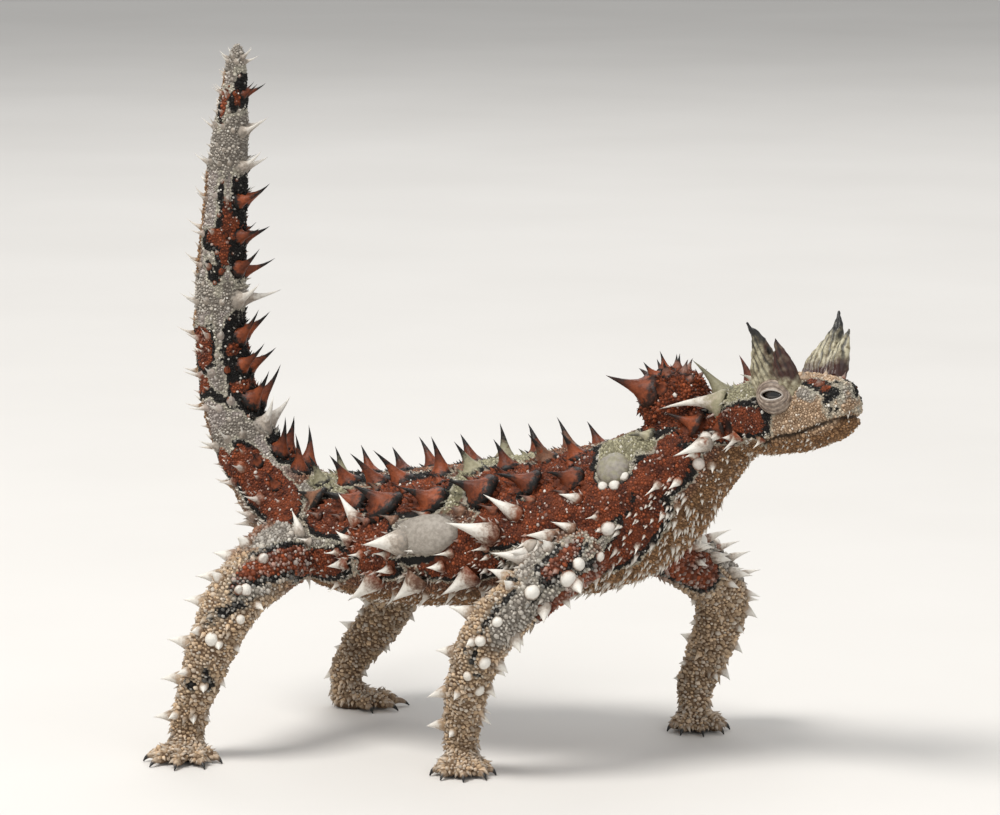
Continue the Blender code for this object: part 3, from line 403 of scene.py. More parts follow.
def finished(name: str, bm: bmesh.types.BMesh, smooth: bool = True) -> bpy.types.Object:
    """An object from a bmesh in the plan's millimetres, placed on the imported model.

    Args:
        name: The object's name.
        bm: The mesh, which is freed.
        smooth: Whether its faces are shaded smooth.

    Returns:
        The object, at the origin, with its place in its mesh.
    """
    bmesh.ops.scale(bm, vec=(MM, MM, MM), verts=bm.verts)
    bmesh.ops.translate(bm, vec=SHIFT, verts=bm.verts)
    bmesh.ops.recalc_face_normals(bm, faces=bm.faces)
    mesh = bpy.data.meshes.new(name)
    bm.to_mesh(mesh)
    bm.free()
    if smooth:
        mesh.shade_smooth()
    made = bpy.data.objects.new(name, mesh)
    bpy.context.scene.collection.objects.link(made)
    return made


def settle(piece: bpy.types.Object, slot: Slot, *nodes: str) -> bpy.types.Object:
    """Lets a piece ride on the body and stand for its nodes.

    Args:
        piece: The object.
        slot: The slot of its finish; not used.
        nodes: The nodes that it stands for, if any.

    Returns:
        The same piece.
    """
    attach(piece, "root")
    if nodes:
        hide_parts(*nodes)
    return piece


def plan_points(mesh: bpy.types.Mesh) -> np.ndarray:
    """The vertices of a mesh in the plan's millimetres.

    Args:
        mesh: The mesh.

    Returns:
        The points, one a row.
    """
    flat = np.zeros(len(mesh.vertices) * 3)
    mesh.vertices.foreach_get("co", flat)
    return (flat.reshape(-1, 3) - np.array(SHIFT)) / MM


def write_points(mesh: bpy.types.Mesh, points: np.ndarray) -> None:
    """Moves the vertices of a mesh to points in the plan's millimetres.

    Args:
        mesh: The mesh.
        points: The points, in the plan's millimetres, one a row.
    """
    mesh.vertices.foreach_set("co", (points * MM + np.array(SHIFT)).ravel())
    mesh.update()


def write_values(mesh: bpy.types.Mesh, name: str, values: np.ndarray) -> None:
    """Keeps one number for each vertex under a name that materials read.

    Args:
        mesh: The mesh.
        name: Its name.
        values: One number for each vertex.
    """
    layer = mesh.attributes.get(name) or mesh.attributes.new(name, "FLOAT", "POINT")
    layer.data.foreach_set("value", values.astype(np.float32))


def edges_of(ring: list[bmesh.types.BMVert]) -> list[bmesh.types.BMEdge]:
    """The edges of a loop of vertices, each once and in the same order each run.

    Args:
        ring: The vertices.

    Returns:
        The edges.
    """
    return list(dict.fromkeys(edge for vertex in ring for edge in vertex.link_edges))


def loft(
    bm: bmesh.types.BMesh, line: Line, start: float, end: float, step: float, sides: int, inset: float
) -> None:
    """Adds a closed tube of flesh along a line.

    Args:
        bm: The mesh that gets it, in millimetres.
        line: The line.
        start: Where it starts, as a distance along the line.
        end: Where it ends.
        step: How far apart its rings are.
        sides: How many sides a ring has.
        inset: How far its surface lies inside the line's own rings.
    """
    loops = []
    for along in np.linspace(start, end, max(3, round((end - start) / step) + 1)):
        centre, onwards, side, upper, (width, above, below) = line.frame(float(along))
        place = Matrix.Translation(centre) @ Matrix((side, upper, onwards)).transposed().to_4x4()
        ring = bmesh.ops.create_circle(bm, segments=sides, radius=1.0)["verts"]
        for vertex in ring:
            height = above if vertex.co.y > 0 else below
            size = Vector((max(width - inset, 0.1), max(height - inset, 0.1), 1.0))
            vertex.co = place @ (vertex.co * size)
        loops.append(edges_of(ring))
    for one, other in zip(loops, loops[1:]):
        bmesh.ops.bridge_loops(bm, edges=one + other)
    bmesh.ops.holes_fill(bm, edges=loops[0] + loops[-1], sides=sides)


def ball(
    bm: bmesh.types.BMesh, centre: Vector, radii: tuple, turn: Matrix | None = None, detail: int = 3
) -> None:
    """Adds a rounded mass, turned by a matrix.

    Args:
        bm: The mesh that gets it, in millimetres.
        centre: Its middle.
        radii: Its three radii.
        turn: How it is turned, if it is.
        detail: How often its faces are split.
    """
    made = bmesh.ops.create_icosphere(bm, subdivisions=detail, radius=1.0)["verts"]
    turned = (turn or Matrix.Identity(3)).to_4x4()
    place = Matrix.Translation(centre) @ turned @ Matrix.Diagonal((*radii, 1.0))
    bmesh.ops.transform(bm, matrix=place, verts=made)


def level(degrees: float) -> Vector:
    """The level direction of a compass angle, with 0 straight ahead and 90 to the left.

    Args:
        degrees: The compass angle.

    Returns:
        The direction, of length one.
    """
    return Vector((math.cos(math.radians(degrees)), math.sin(math.radians(degrees)), 0.0))


@dataclass
class Places:
    """Where points lie.

    Fields:
        line: The number of the line, 0 for the body and 1 to 4 for the legs.
        along: The distance along it.
        angle: The angle round it, in degrees.
        around: How many millimetres of surface a degree takes there.
    """

    line: np.ndarray
    along: np.ndarray
    angle: np.ndarray
    around: np.ndarray

    def __getitem__(self, pick: np.ndarray) -> "Places":
        """The places of some of the points.

        Args:
            pick: Which points.

        Returns:
            Their places.
        """
        return Places(self.line[pick], self.along[pick], self.angle[pick], self.around[pick])


@dataclass
class Chart:
    """Finds where points lie on the body's line or on a leg's.

    Fields:
        step: How far apart the lines are sampled.
        onward_weight: How much a point must be level with its sample, in millimetres.
        batch: How many points are worked on at once.
    """

    step: float = 0.5
    onward_weight: float = 2.0
    batch: int = 3000

    def __post_init__(self) -> None:
        """Samples the lines, each leg's from where it leaves the body."""
        rows = []
        lines = [(BODY, 0.0)] + [(leg.line, float(leg.line.knots[1])) for leg in LEGS]
        for number, (line, start) in enumerate(lines):
            for along in np.arange(start, line.length + 0.01, self.step):
                centre, onwards, side, upper, sizes = line.frame(float(along))
                rows.append((number, along, *centre, *onwards, *side, *upper, *sizes))
        self.rows = np.array(rows)

    def places(self, points: np.ndarray) -> Places:
        """Where points of the plan lie.

        Args:
            points: One point a row, in millimetres.

        Returns:
            Their places. The angle runs from the upper or outer side towards the line's side.
        """
        found = []
        centre, onwards, side, upper = (self.rows[:, i : i + 3] for i in (2, 5, 8, 11))
        for first in range(0, len(points), self.batch):
            rel = points[first : first + self.batch, None, :] - centre[None]
            x = np.einsum("psk,sk->ps", rel, side)
            y = np.einsum("psk,sk->ps", rel, upper)
            z = np.einsum("psk,sk->ps", rel, onwards)
            height = np.where(y > 0, self.rows[None, :, 15], self.rows[None, :, 16])
            x, y = x / self.rows[None, :, 14], y / height
            best = np.argmin(x**2 + y**2 + (z / self.onward_weight) ** 2, axis=1)
            pick = (np.arange(len(best)), best)
            row = self.rows[best]
            size = (row[:, 14] + row[:, 15] + row[:, 16]) / 3
            angle = np.degrees(np.arctan2(x[pick], y[pick]))
            found.append(np.stack([row[:, 0], row[:, 1] + z[pick], angle, size * math.pi / 180]))
        line, along, angle, around = np.hstack(found)
        return Places(line.astype(int), along, angle, around)


CHART = Chart()


OUTSIDE = -9.0  # the value of a patch's field where the patch can't be


@dataclass(frozen=True)
class Patch:
    """A rounded patch of colour on a line's flesh.

    Fields:
        along: The distance along the line of its middle.
        angle: The angle of its middle, in degrees, taken on both sides unless side is given.
        reach: Half its length.
        spread: Half its width round the flesh, in millimetres.
        slant: How far it is turned, in degrees, its front end up.
        side: The one side that it is on, or None.
        squareness: The power that its outline follows, 2 for an oval.
    """

    along: float
    angle: float
    reach: float
    spread: float
    slant: float = 0.0
    side: Side | None = None
    squareness: float = 2.6

    def field(self, places: Places, ahead: float = 0.0, down: float = 0.0, grown: float = 0.0) -> np.ndarray:
        """How far inside the patch each place is, in millimetres, and negative outside it.

        Args:
            places: The places.
            ahead: How far the patch is moved along the line.
            down: How far it is moved away from the upper side.
            grown: How much larger it is all round.

        Returns:
            One number for each place.
        """
        turn = math.radians(self.slant)
        onward = places.along - self.along - ahead
        round_it = np.where(places.line == 0, np.abs(places.angle), places.angle)
        lower = (round_it - self.angle) * places.around - down
        u = onward * math.cos(turn) - lower * math.sin(turn)
        v = onward * math.sin(turn) + lower * math.cos(turn)
        reach, spread = self.reach + grown, self.spread + grown
        power = self.squareness
        outline = (np.abs(u / reach) ** power + np.abs(v / spread) ** power) ** (1 / power)
        inside = (1.0 - outline) * min(reach, spread)
        if self.side is not None:
            inside = np.where(np.sign(places.angle) == self.side.value, inside, OUTSIDE)
        return inside


# The markings, each on both sides unless it names one: distance along the body line, degrees from the
# middle of the back, half length, half width, slant
RUST_PATCHES = (
    Patch(8.6, 46.0, 1.3, 0.5),
    Patch(28.2, 38.0, 1.6, 1.3),
    Patch(29.4, 58.0, 5.2, 0.7),
    Patch(29.8, 84.0, 1.3, 1.6),
    Patch(9.5, 102.0, 2.2, 0.6),
    Patch(47.4, 34.0, 0.9, 1.6),
    Patch(53.6, 30.0, 0.9, 1.9),
    Patch(46.6, 112.0, 3.2, 2.0),
    Patch(52.0, 122.0, 1.3, 1.6),
    Patch(67.4, 8.0, 1.6, 1.6),
    Patch(71.0, 74.0, 8.0, 3.7, 8.0),
    Patch(64.5, 112.0, 3.0, 1.8, 40.0),
    Patch(85.8, 60.0, 4.8, 3.0),
    Patch(84.6, 112.0, 7.2, 2.6, 28.0),
    Patch(90.6, 42.0, 2.7, 2.7),
    Patch(96.3, 40.0, 3.3, 3.8),
    Patch(102.8, 40.0, 4.2, 3.9),
    Patch(94.8, 74.0, 4.2, 3.6),
    Patch(96.5, 101.0, 3.4, 1.9),
    Patch(110.5, 88.0, 3.6, 3.6),
    Patch(110.0, 104.0, 6.2, 2.0),
    Patch(115.8, 39.0, 5.0, 4.4),
    Patch(126.6, 37.0, 6.0, 5.0),
    Patch(117.5, 74.0, 4.6, 3.6),
    Patch(128.5, 78.0, 9.2, 5.2),
    Patch(124.5, 114.0, 3.4, 2.0, 50.0),
    Patch(133.5, 118.0, 6.6, 3.0, 18.0),
    Patch(141.6, 88.0, 4.4, 3.3, -8.0),
    Patch(144.6, 66.0, 1.6, 1.6),
    # This rust stripe at 148 along, by the knob on the nape, is the knob's shadow painted as rust.
    Patch(148.0, 40.0, 1.4, 5.6),
    Patch(154.0, 96.0, 4.6, 2.7),
    Patch(160.6, 94.0, 4.2, 2.3, -10.0),
    Patch(153.6, 30.0, 5.4, 3.4, 0.0, Side.LEFT),
    Patch(171.4, 26.0, 1.6, 0.8),
    Patch(174.0, 38.0, 0.5, 0.9),
    Patch(148.6, 70.0, 2.2, 2.4),
)
SOOT_PATCHES = (
    Patch(7.3, 24.0, 2.8, 1.35),
    Patch(28.0, 14.0, 8.2, 2.35),
    Patch(22.6, 80.0, 1.7, 0.6),
    Patch(35.0, 88.0, 2.4, 0.7, 30.0),
    Patch(50.6, 10.0, 9.2, 3.9),
    Patch(46.0, 88.0, 3.2, 0.8),
    Patch(54.0, 94.0, 3.6, 0.7, 50.0),
    Patch(68.6, 4.0, 6.0, 2.2),
    Patch(64.0, 66.0, 2.6, 1.2, 30.0),
    Patch(85.6, 13.0, 3.4, 2.4),
    Patch(93.0, 15.0, 5.0, 1.8),
    Patch(100.5, 19.0, 4.6, 1.9),
    Patch(85.4, 41.0, 4.0, 0.6),
    Patch(87.0, 77.0, 5.4, 0.7),
    Patch(86.0, 97.0, 6.6, 1.1, 25.0),
    Patch(116.0, 22.0, 5.2, 0.9, -12.0),
    Patch(131.6, 34.0, 1.5, 4.8, -14.0),
    Patch(126.0, 57.0, 6.0, 0.8),
    Patch(105.0, 95.5, 5.2, 0.8),
    Patch(121.6, 113.0, 0.8, 3.4, -38.0),
    Patch(130.0, 119.5, 5.6, 0.7, 25.0),
    Patch(125.6, 106.5, 3.4, 0.6, 30.0),
    Patch(135.5, 131.0, 4.0, 0.7, 25.0),
    Patch(140.6, 67.0, 0.8, 1.5),
    Patch(141.0, 104.5, 3.6, 0.7),
    Patch(145.0, 30.0, 2.2, 3.0),
    Patch(150.6, 66.0, 0.8, 1.0),
    Patch(155.0, 76.0, 3.6, 0.6),
    Patch(161.6, 71.0, 4.4, 0.7),
    Patch(163.8, 106.0, 3.0, 0.8, 62.0),
    Patch(174.6, 64.0, 0.45, 2.0, 20.0),
    Patch(173.9, 26.0, 0.4, 1.6, -20.0),
    Patch(165.4, 95.0, 1.7, 0.9, 40.0),
    Patch(162.4, 107.0, 2.6, 0.8, 30.0),
)
OLIVE_PATCHES = (
    Patch(81.0, 22.0, 7.0, 2.6, -18.0),
    Patch(108.7, 36.0, 1.9, 5.2),
    Patch(113.5, 7.0, 7.0, 2.4),
    Patch(138.0, 32.0, 7.6, 4.4),
    Patch(157.0, 42.0, 9.0, 3.8),
)
# Pale grey: the rings of the tail, the stripe above the thigh, the shields and the stripe on the shoulder
GREY_PATCHES = (
    Patch(30.0, 74.0, 30.0, 0.9),
    Patch(2.0, 90.0, 3.0, 6.0),
    Patch(15.0, 90.0, 5.0, 9.0),
    Patch(38.6, 90.0, 2.8, 12.0),
    Patch(60.6, 60.0, 2.6, 9.0, 12.0),
    Patch(76.6, 66.0, 2.6, 9.0, -14.0),
    Patch(84.6, 86.0, 7.6, 1.5, 8.0),
    Patch(105.3, 75.0, 5.2, 3.4),
    Patch(136.0, 61.0, 3.2, 3.4),
    Patch(125.8, 89.0, 1.6, 1.5),
    Patch(129.5, 106.0, 5.4, 1.6, 24.0),
    Patch(139.5, 112.0, 3.6, 1.0),
    Patch(149.5, 101.0, 5.4, 1.3),
    Patch(166.4, 30.0, 1.3, 2.4),
    Patch(172.0, 55.0, 1.6, 1.6),
    Patch(175.2, 34.0, 0.8, 2.0),
)
# Grey that lies over the rust: the shield, the boss beside the neck and the stripe on the shoulder
GREY_ON_TOP = (
    Patch(104.6, 75.0, 5.6, 3.2),
    Patch(136.2, 57.0, 3.3, 3.2),
    Patch(121.0, 103.0, 2.9, 2.0),
    Patch(129.6, 112.5, 6.2, 1.1, 25.0),
)
# The markings of the legs: distance along the leg's line, degrees from its outer side towards its front
HIND_PATCHES = {
    "rust": (Patch(13.5, 57.0, 7.4, 1.9, 25.0), Patch(4.0, 100.0, 8.0, 2.6, 10.0)),
    "soot": (
        Patch(10.3, 50.0, 5.8, 0.8, 31.0),
        Patch(18.3, 43.0, 4.0, 0.8, 42.0),
        Patch(23.0, 31.0, 3.0, 0.6, 54.0),
        Patch(32.8, 42.0, 2.0, 0.7, -35.0),
        Patch(34.5, -2.0, 0.9, 0.8),
    ),
    "olive": (),
    "grey": (Patch(8.4, 22.0, 5.6, 2.6, 20.0), Patch(19.8, 62.0, 3.6, 0.9, 44.0)),
}
FORE_PATCHES = {
    "rust": (Patch(11.8, 31.0, 3.7, 1.05), Patch(5.5, 118.0, 4.2, 3.6), Patch(13.0, 128.0, 6.0, 3.4)),
    "soot": (
        Patch(8.6, 78.0, 4.2, 0.6, 10.0),
        Patch(13.0, 8.0, 2.4, 0.6),
        Patch(12.6, 50.0, 3.2, 0.55),
        Patch(15.4, 40.0, 0.5, 1.1),
        Patch(17.3, 51.0, 1.4, 0.4),
        # A black streak down the outer rear of the upper leg.
        Patch(18.3, -25.0, 0.6, 2.4),
        Patch(19.9, 8.0, 1.6, 0.5),
        Patch(23.2, 3.0, 1.9, 0.45),
        Patch(28.0, 7.0, 1.4, 0.42),
        Patch(30.7, 26.0, 0.32, 0.8),
        Patch(28.2, -22.0, 0.6, 0.4),
        Patch(16.0, 112.0, 2.6, 0.4, 40.0),
        Patch(11.0, 150.0, 3.0, 0.4, -30.0),
    ),
    "olive": (),
    "grey": (Patch(17.0, 48.0, 9.0, 3.2), Patch(14.0, -20.0, 4.0, 2.2)),
}


# The trunk's patches, by the name of their field
TRUNK_PATCHES = {"rust": RUST_PATCHES, "soot": SOOT_PATCHES, "olive": OLIVE_PATCHES, "grey": GREY_PATCHES}


def ramp(values: np.ndarray, start: float, length: float) -> np.ndarray:
    """A rise from 0 at start to 1 a length further on.

    Args:
        values: The numbers.
        start: Where it starts.
        length: How long it takes.

    Returns:
        The rise at each number.
    """
    return np.clip((values - start) / length, 0.0, 1.0)


@dataclass(frozen=True)
class Face:
    """The mouth, nostrils, ears and brows, in the head's own axes: forward, left, up.

    Fields:
        mouth: How high the line of the mouth is at some distances ahead.
        mouth_width: How wide its groove is, in millimetres.
        mouth_depth: How deep.
        lip: How far the lips stand out beside it.
        lip_width: How far from it they do.
        nostril: The right or left nostril's place, its own half length and half height.
        ear: The same of an ear.
        pit_depth: How deep a nostril or an ear is.
        brow: Points along the ridge over each eye.
        brow_width: How wide the ridge is.
        brow_height: How high.
    """

    mouth: tuple = ((-4.4, -6.6), (-1.0, -5.9), (2.0, -5.9), (5.0, -5.3), (9.4, -4.4))
    mouth_width: float = 0.26
    mouth_depth: float = 0.5
    lip: float = 0.22
    lip_width: float = 0.7
    nostril: tuple = ((7.9, 2.2, -1.5), 0.55, 0.35)
    ear: tuple = ((-9.6, 7.2, -3.6), 0.9, 1.4)
    pit_depth: float = 0.6
    brow: tuple = ((1.8, 4.6, 3.0), (3.2, 4.9, 2.0), (4.0, 5.0, 0.4), (3.9, 4.9, -1.4))
    brow_width: float = 1.0
    brow_height: float = 0.6

    @staticmethod
    def own(points: np.ndarray) -> np.ndarray:
        """Points in the head's own axes, with both sides brought to the left one.

        Args:
            points: The points, in the plan's millimetres, one a row.

        Returns:
            The points, one a row.
        """
        axes = np.array([list(axis) for axis in head_axes()])
        own = (points - np.array(EYE_MIDPOINT)) @ axes.T
        own[:, 1] = np.abs(own[:, 1])
        return own

    def mouth_away(self, own: np.ndarray) -> np.ndarray:
        """How far points are from the line of the mouth, below it where negative.

        Args:
            own: The points in the head's own axes.

        Returns:
            One number for each point.
        """
        ahead, levels = zip(*self.mouth)
        away = own[:, 2] - np.interp(own[:, 0], ahead, levels)
        behind = np.maximum(ahead[0] - own[:, 0], 0.0)
        return np.where(behind > 0, np.hypot(away, behind * 2.0), away)

    def pits(self, own: np.ndarray) -> np.ndarray:
        """How deep in a nostril or an ear points are, from 0 outside to 1 in its middle.

        Args:
            own: The points in the head's own axes.

        Returns:
            One number for each point.
        """
        deepest = np.zeros(len(own))
        for place, half_length, half_height in (self.nostril, self.ear):
            rel = own - np.array(place)
            away = np.sqrt((rel[:, 0] / half_length) ** 2 + (rel[:, 2] / half_height) ** 2)
            near = np.abs(rel[:, 1]) < 3.0
            deepest = np.maximum(deepest, np.clip(1.25 - away, 0.0, 1.0) * near)
        return deepest

    def brow_away(self, own: np.ndarray) -> np.ndarray:
        """How far points are from the middle of the brow's ridge.

        Args:
            own: The points in the head's own axes.

        Returns:
            One number for each point.
        """
        nearest = np.full(len(own), -OUTSIDE)
        for start, end in zip(np.array(self.brow), np.array(self.brow[1:])):
            part = end - start
            share = np.clip((own - start) @ part / (part @ part), 0.0, 1.0)
            nearest = np.minimum(nearest, np.linalg.norm(own - start - share[:, None] * part, axis=1))
        return nearest

    def hollow(self, points: np.ndarray) -> np.ndarray:
        """How much painted shade points take because they lie in the mouth, a nostril or an ear.

        Args:
            points: The points, in the plan's millimetres, one a row.

        Returns:
            One number for each point.
        """
        own = self.own(points)
        before_neck = own[:, 0] > self.ear[0][0] - 3.0
        mouth = np.clip(1.5 - np.abs(self.mouth_away(own)) / self.mouth_width, 0.0, 1.0)
        return np.maximum(mouth, self.pits(own)) * before_neck

    def press(self, points: np.ndarray) -> np.ndarray:
        """How far the skin moves outwards at points for these features.

        Args:
            points: The points, in the plan's millimetres, one a row.

        Returns:
            One number for each point.
        """
        own = self.own(points)
        away = self.mouth_away(own)
        moved = -self.mouth_depth * bell(away, self.mouth_width)
        moved += self.lip * bell(np.abs(away) - self.lip_width, self.lip_width * 0.5)
        moved *= own[:, 0] > self.mouth[0][0] - 1.0
        moved += self.brow_height * bell(self.brow_away(own), self.brow_width)
        return moved - self.pit_depth * self.pits(own)


FACE = Face()


def bell(distance: np.ndarray, width: float) -> np.ndarray:
    """A smooth hump, 1 at distance 0 and falling away over a width.

    Args:
        distance: The distances.
        width: The width.

    Returns:
        The hump's height at each distance.
    """
    return np.exp(-((distance / width) ** 2))


@dataclass(frozen=True)
class Markings:
    """The colours of the hide, as fields that materials draw their edges from.

    Fields:
        soot_ahead: How far the black edge of a rust patch is moved towards the head.
        soot_down: How far it is moved down the flank.
        soot_grown: How far it stands out all round.
        clip: The largest value that a field keeps, in millimetres.
        tail_to: Where the tail's own colour ends along the body line.
        head_from: Where the head's begins.
        limb_from: Where a leg's begins along its line.
        fade: How far one colour takes to turn into the other.
        under_from: Where the belly's colour begins, in degrees from the middle of the back.
        under_fade: How many degrees it takes.
        knob_edge: Where the knob's rust ends, as a share of its radii.
        knob_ring: How far the black ring round it reaches, in millimetres.
        ring: How wide the black edge is round the grey that lies on top.
    """

    soot_ahead: float = 0.45
    soot_down: float = 0.45
    soot_grown: float = 0.5
    clip: float = 2.5
    tail_to: float = 74.0
    head_from: float = 157.0
    limb_from: float = 11.0
    fade: float = 6.0
    under_from: float = 122.0
    under_fade: float = 16.0
    knob_edge: float = 1.22
    knob_ring: float = 0.5
    ring: float = 0.35

    def values(self, places: Places, points: np.ndarray) -> dict[str, np.ndarray]:
        """The fields at places.

        Args:
            places: Where the points lie.
            points: The points, in the plan's millimetres.

        Returns:
            For each attribute's name, one number for each point.
        """
        found = {}
        body, hind = places.line == 0, (places.line == 1) | (places.line == 2)
        parts = ((body, TRUNK_PATCHES), (hind, HIND_PATCHES), (~(body | hind), FORE_PATCHES))
        for name in TRUNK_PATCHES:
            value = np.full(len(points), OUTSIDE)
            for lines, patches in parts:
                value[lines] = self.deepest(patches[name], places[lines])
            found[name] = value
        # The black edge round each rust patch: the hide's black outline, moved down the flank and towards the
        # head, where it is also painted shadow under the raised scales.
        moved = (self.soot_ahead, self.soot_down, self.soot_grown)
        for lines, patches in parts:
            edge = self.deepest(patches["rust"], places[lines], *moved)
            found["soot"][lines] = np.maximum(found["soot"][lines], edge)
        over = self.deepest(GREY_ON_TOP, places[body])
        found["grey"][body] = np.maximum(found["grey"][body], over)
        found["rust"][body] = np.minimum(found["rust"][body], -over)
        found["soot"][body] = np.minimum(found["soot"][body], self.ring - over)
        self.mark_knob(found, points)
        found = {name: np.clip(value, -self.clip, self.clip) for name, value in found.items()}
        found["tail"] = np.where(body, ramp(-places.along, -self.tail_to, self.fade), 0.0)
        found["head"] = np.where(body, ramp(places.along, self.head_from, self.fade), 0.0)
        found["under"] = np.where(body, ramp(np.abs(places.angle), self.under_from, self.under_fade), 0.0)
        found["limb"] = np.where(body, 0.0, ramp(places.along, self.limb_from, self.fade))
        found["hollow"] = FACE.hollow(points)
        return found

    @staticmethod
    def deepest(
        patches: tuple, places: Places, ahead: float = 0.0, down: float = 0.0, grown: float = 0.0
    ) -> np.ndarray:
        """How far each place is inside the patch that it is deepest in.

        Args:
            patches: The patches.
            places: Where the points lie.
            ahead: How far they are moved ahead.
            down: How far they are moved down.
            grown: How far they are made wider.

        Returns:
            One number for each point.
        """
        value = np.full(len(places.along), OUTSIDE)
        for patch in patches:
            value = np.maximum(value, patch.field(places, ahead, down, grown))
        return value

    def mark_knob(self, found: dict[str, np.ndarray], points: np.ndarray) -> None:
        """Makes the knob on the nape rust all over, with a black ring round its foot.

        Args:
            found: The fields so far, which are changed.
            points: The points, in the plan's millimetres, one a row.
        """
        shares = np.linalg.norm((points - np.array(KNOB_AT)) / np.array(KNOB_RADII), axis=1)
        inside = (self.knob_edge - shares) * KNOB_RADII[1]
        found["rust"] = np.maximum(found["rust"], inside)
        found["soot"] = np.maximum(found["soot"], inside + self.knob_ring)
        for name in ("olive", "grey"):
            found[name] = np.minimum(found[name], -inside)


MARKINGS = Markings()


class Graph:
    """A material's node tree, with a short call for each kind of node that the finishes use."""

    def __init__(self, name: str) -> None:
        """Makes the material and finds its shader.

        Args:
            name: The material's name.
        """
        self.material = bpy.data.materials.new(name)
        self.material.use_nodes = True
        self.nodes = self.material.node_tree.nodes
        self.links = self.material.node_tree.links
        self.shader = self.nodes["Principled BSDF"]

    def feed(self, socket: bpy.types.NodeSocket, value: object) -> None:
        """Links a socket to another's output, or sets it to a number or colour.

        Args:
            socket: The socket.
            value: What it gets.
        """
        if isinstance(value, bpy.types.NodeSocket):
            self.links.new(value, socket)
        elif isinstance(value, tuple):
            socket.default_value = (*value, 1.0) if len(socket.default_value) == 4 else value
        else:
            socket.default_value = value

    def value(self, name: str) -> bpy.types.NodeSocket:
        """A number that the mesh keeps for each vertex.

        Args:
            name: The name that it is kept under.

        Returns:
            The socket that gives it.
        """
        node = self.nodes.new("ShaderNodeAttribute")
        node.attribute_name = name
        return node.outputs["Fac"]

    def math(self, operation: str, one: object, other: object = 0.0) -> bpy.types.NodeSocket:
        """The result of a sum of two numbers.

        Args:
            operation: The kind of sum.
            one: The first of them.
            other: The second.

        Returns:
            The socket that gives it.
        """
        node = self.nodes.new("ShaderNodeMath")
        node.operation = operation
        self.feed(node.inputs[0], one)
        self.feed(node.inputs[1], other)
        return node.outputs[0]

    def rise(self, value: object, low: float, high: float) -> bpy.types.NodeSocket:
        """A smooth step from 0 at low to 1 at high.

        Args:
            value: The number.
            low: The lower end.
            high: The upper end.

        Returns:
            The socket that gives it.
        """
        node = self.nodes.new("ShaderNodeMapRange")
        node.interpolation_type = "SMOOTHSTEP"
        self.feed(node.inputs["Value"], value)
        self.feed(node.inputs["From Min"], low)
        self.feed(node.inputs["From Max"], high)
        return node.outputs["Result"]

    def mix(self, share: object, one: object, other: object, blend: str = "MIX") -> bpy.types.NodeSocket:
        """A colour between two others.

        Args:
            share: How much of the second it has.
            one: The first of them.
            other: The second.
            blend: How they are mixed.

        Returns:
            The socket that gives it.
        """
        node = self.nodes.new("ShaderNodeMix")
        node.data_type = "RGBA"
        node.blend_type = blend
        self.feed(node.inputs["Factor"], share)
        self.feed(node.inputs[6], one)
        self.feed(node.inputs[7], other)
        return node.outputs[2]

    def noise(self, scale: float, detail: float = 2.0, roughness: float = 0.5) -> bpy.types.NodeSocket:
        """Noise on the object's own coordinates, with a scale in marks for each millimetre.

        Args:
            scale: How many marks a millimetre holds.
            detail: How fine it is.
            roughness: How much its finest marks count.

        Returns:
            The socket that gives it.
        """
        node = self.nodes.new("ShaderNodeTexNoise")
        self.links.new(self.place(), node.inputs["Vector"])
        node.inputs["Scale"].default_value = scale / MM
        node.inputs["Detail"].default_value = detail
        node.inputs["Roughness"].default_value = roughness
        return node.outputs["Fac"]

    def cells(self, scale: float, feature: str = "F1") -> bpy.types.NodeSocket:
        """The distance to the nearest cell's middle or edge.

        Args:
            scale: How many marks a millimetre holds.
            feature: What the distance is to.

        Returns:
            The socket that gives it.
        """
        node = self.nodes.new("ShaderNodeTexVoronoi")
        node.feature = feature
        self.links.new(self.place(), node.inputs["Vector"])
        node.inputs["Scale"].default_value = scale / MM
        return node.outputs["Distance"]

    def grey(self, value: bpy.types.NodeSocket) -> bpy.types.NodeSocket:
        """A grey colour as bright as a number.

        Args:
            value: The number.

        Returns:
            The socket that gives it.
        """
        node = self.nodes.new("ShaderNodeCombineXYZ")
        for socket in node.inputs:
            self.links.new(value, socket)
        return node.outputs[0]

    def place(self) -> bpy.types.NodeSocket:
        """The object's own coordinates.

        Returns:
            The socket that gives it.
        """
        return self.nodes.new("ShaderNodeTexCoord").outputs["Object"]

    def bump(self, height: bpy.types.NodeSocket, strength: float, distance: float) -> None:
        """Roughens the surface by a height, with a distance in millimetres.

        Args:
            height: The height.
            strength: How strong it is, from 0 to 1.
            distance: How high it is.
        """
        node = self.nodes.new("ShaderNodeBump")
        node.inputs["Strength"].default_value = strength
        node.inputs["Distance"].default_value = distance * MM
        self.links.new(height, node.inputs["Height"])
        self.links.new(node.outputs["Normal"], self.shader.inputs["Normal"])


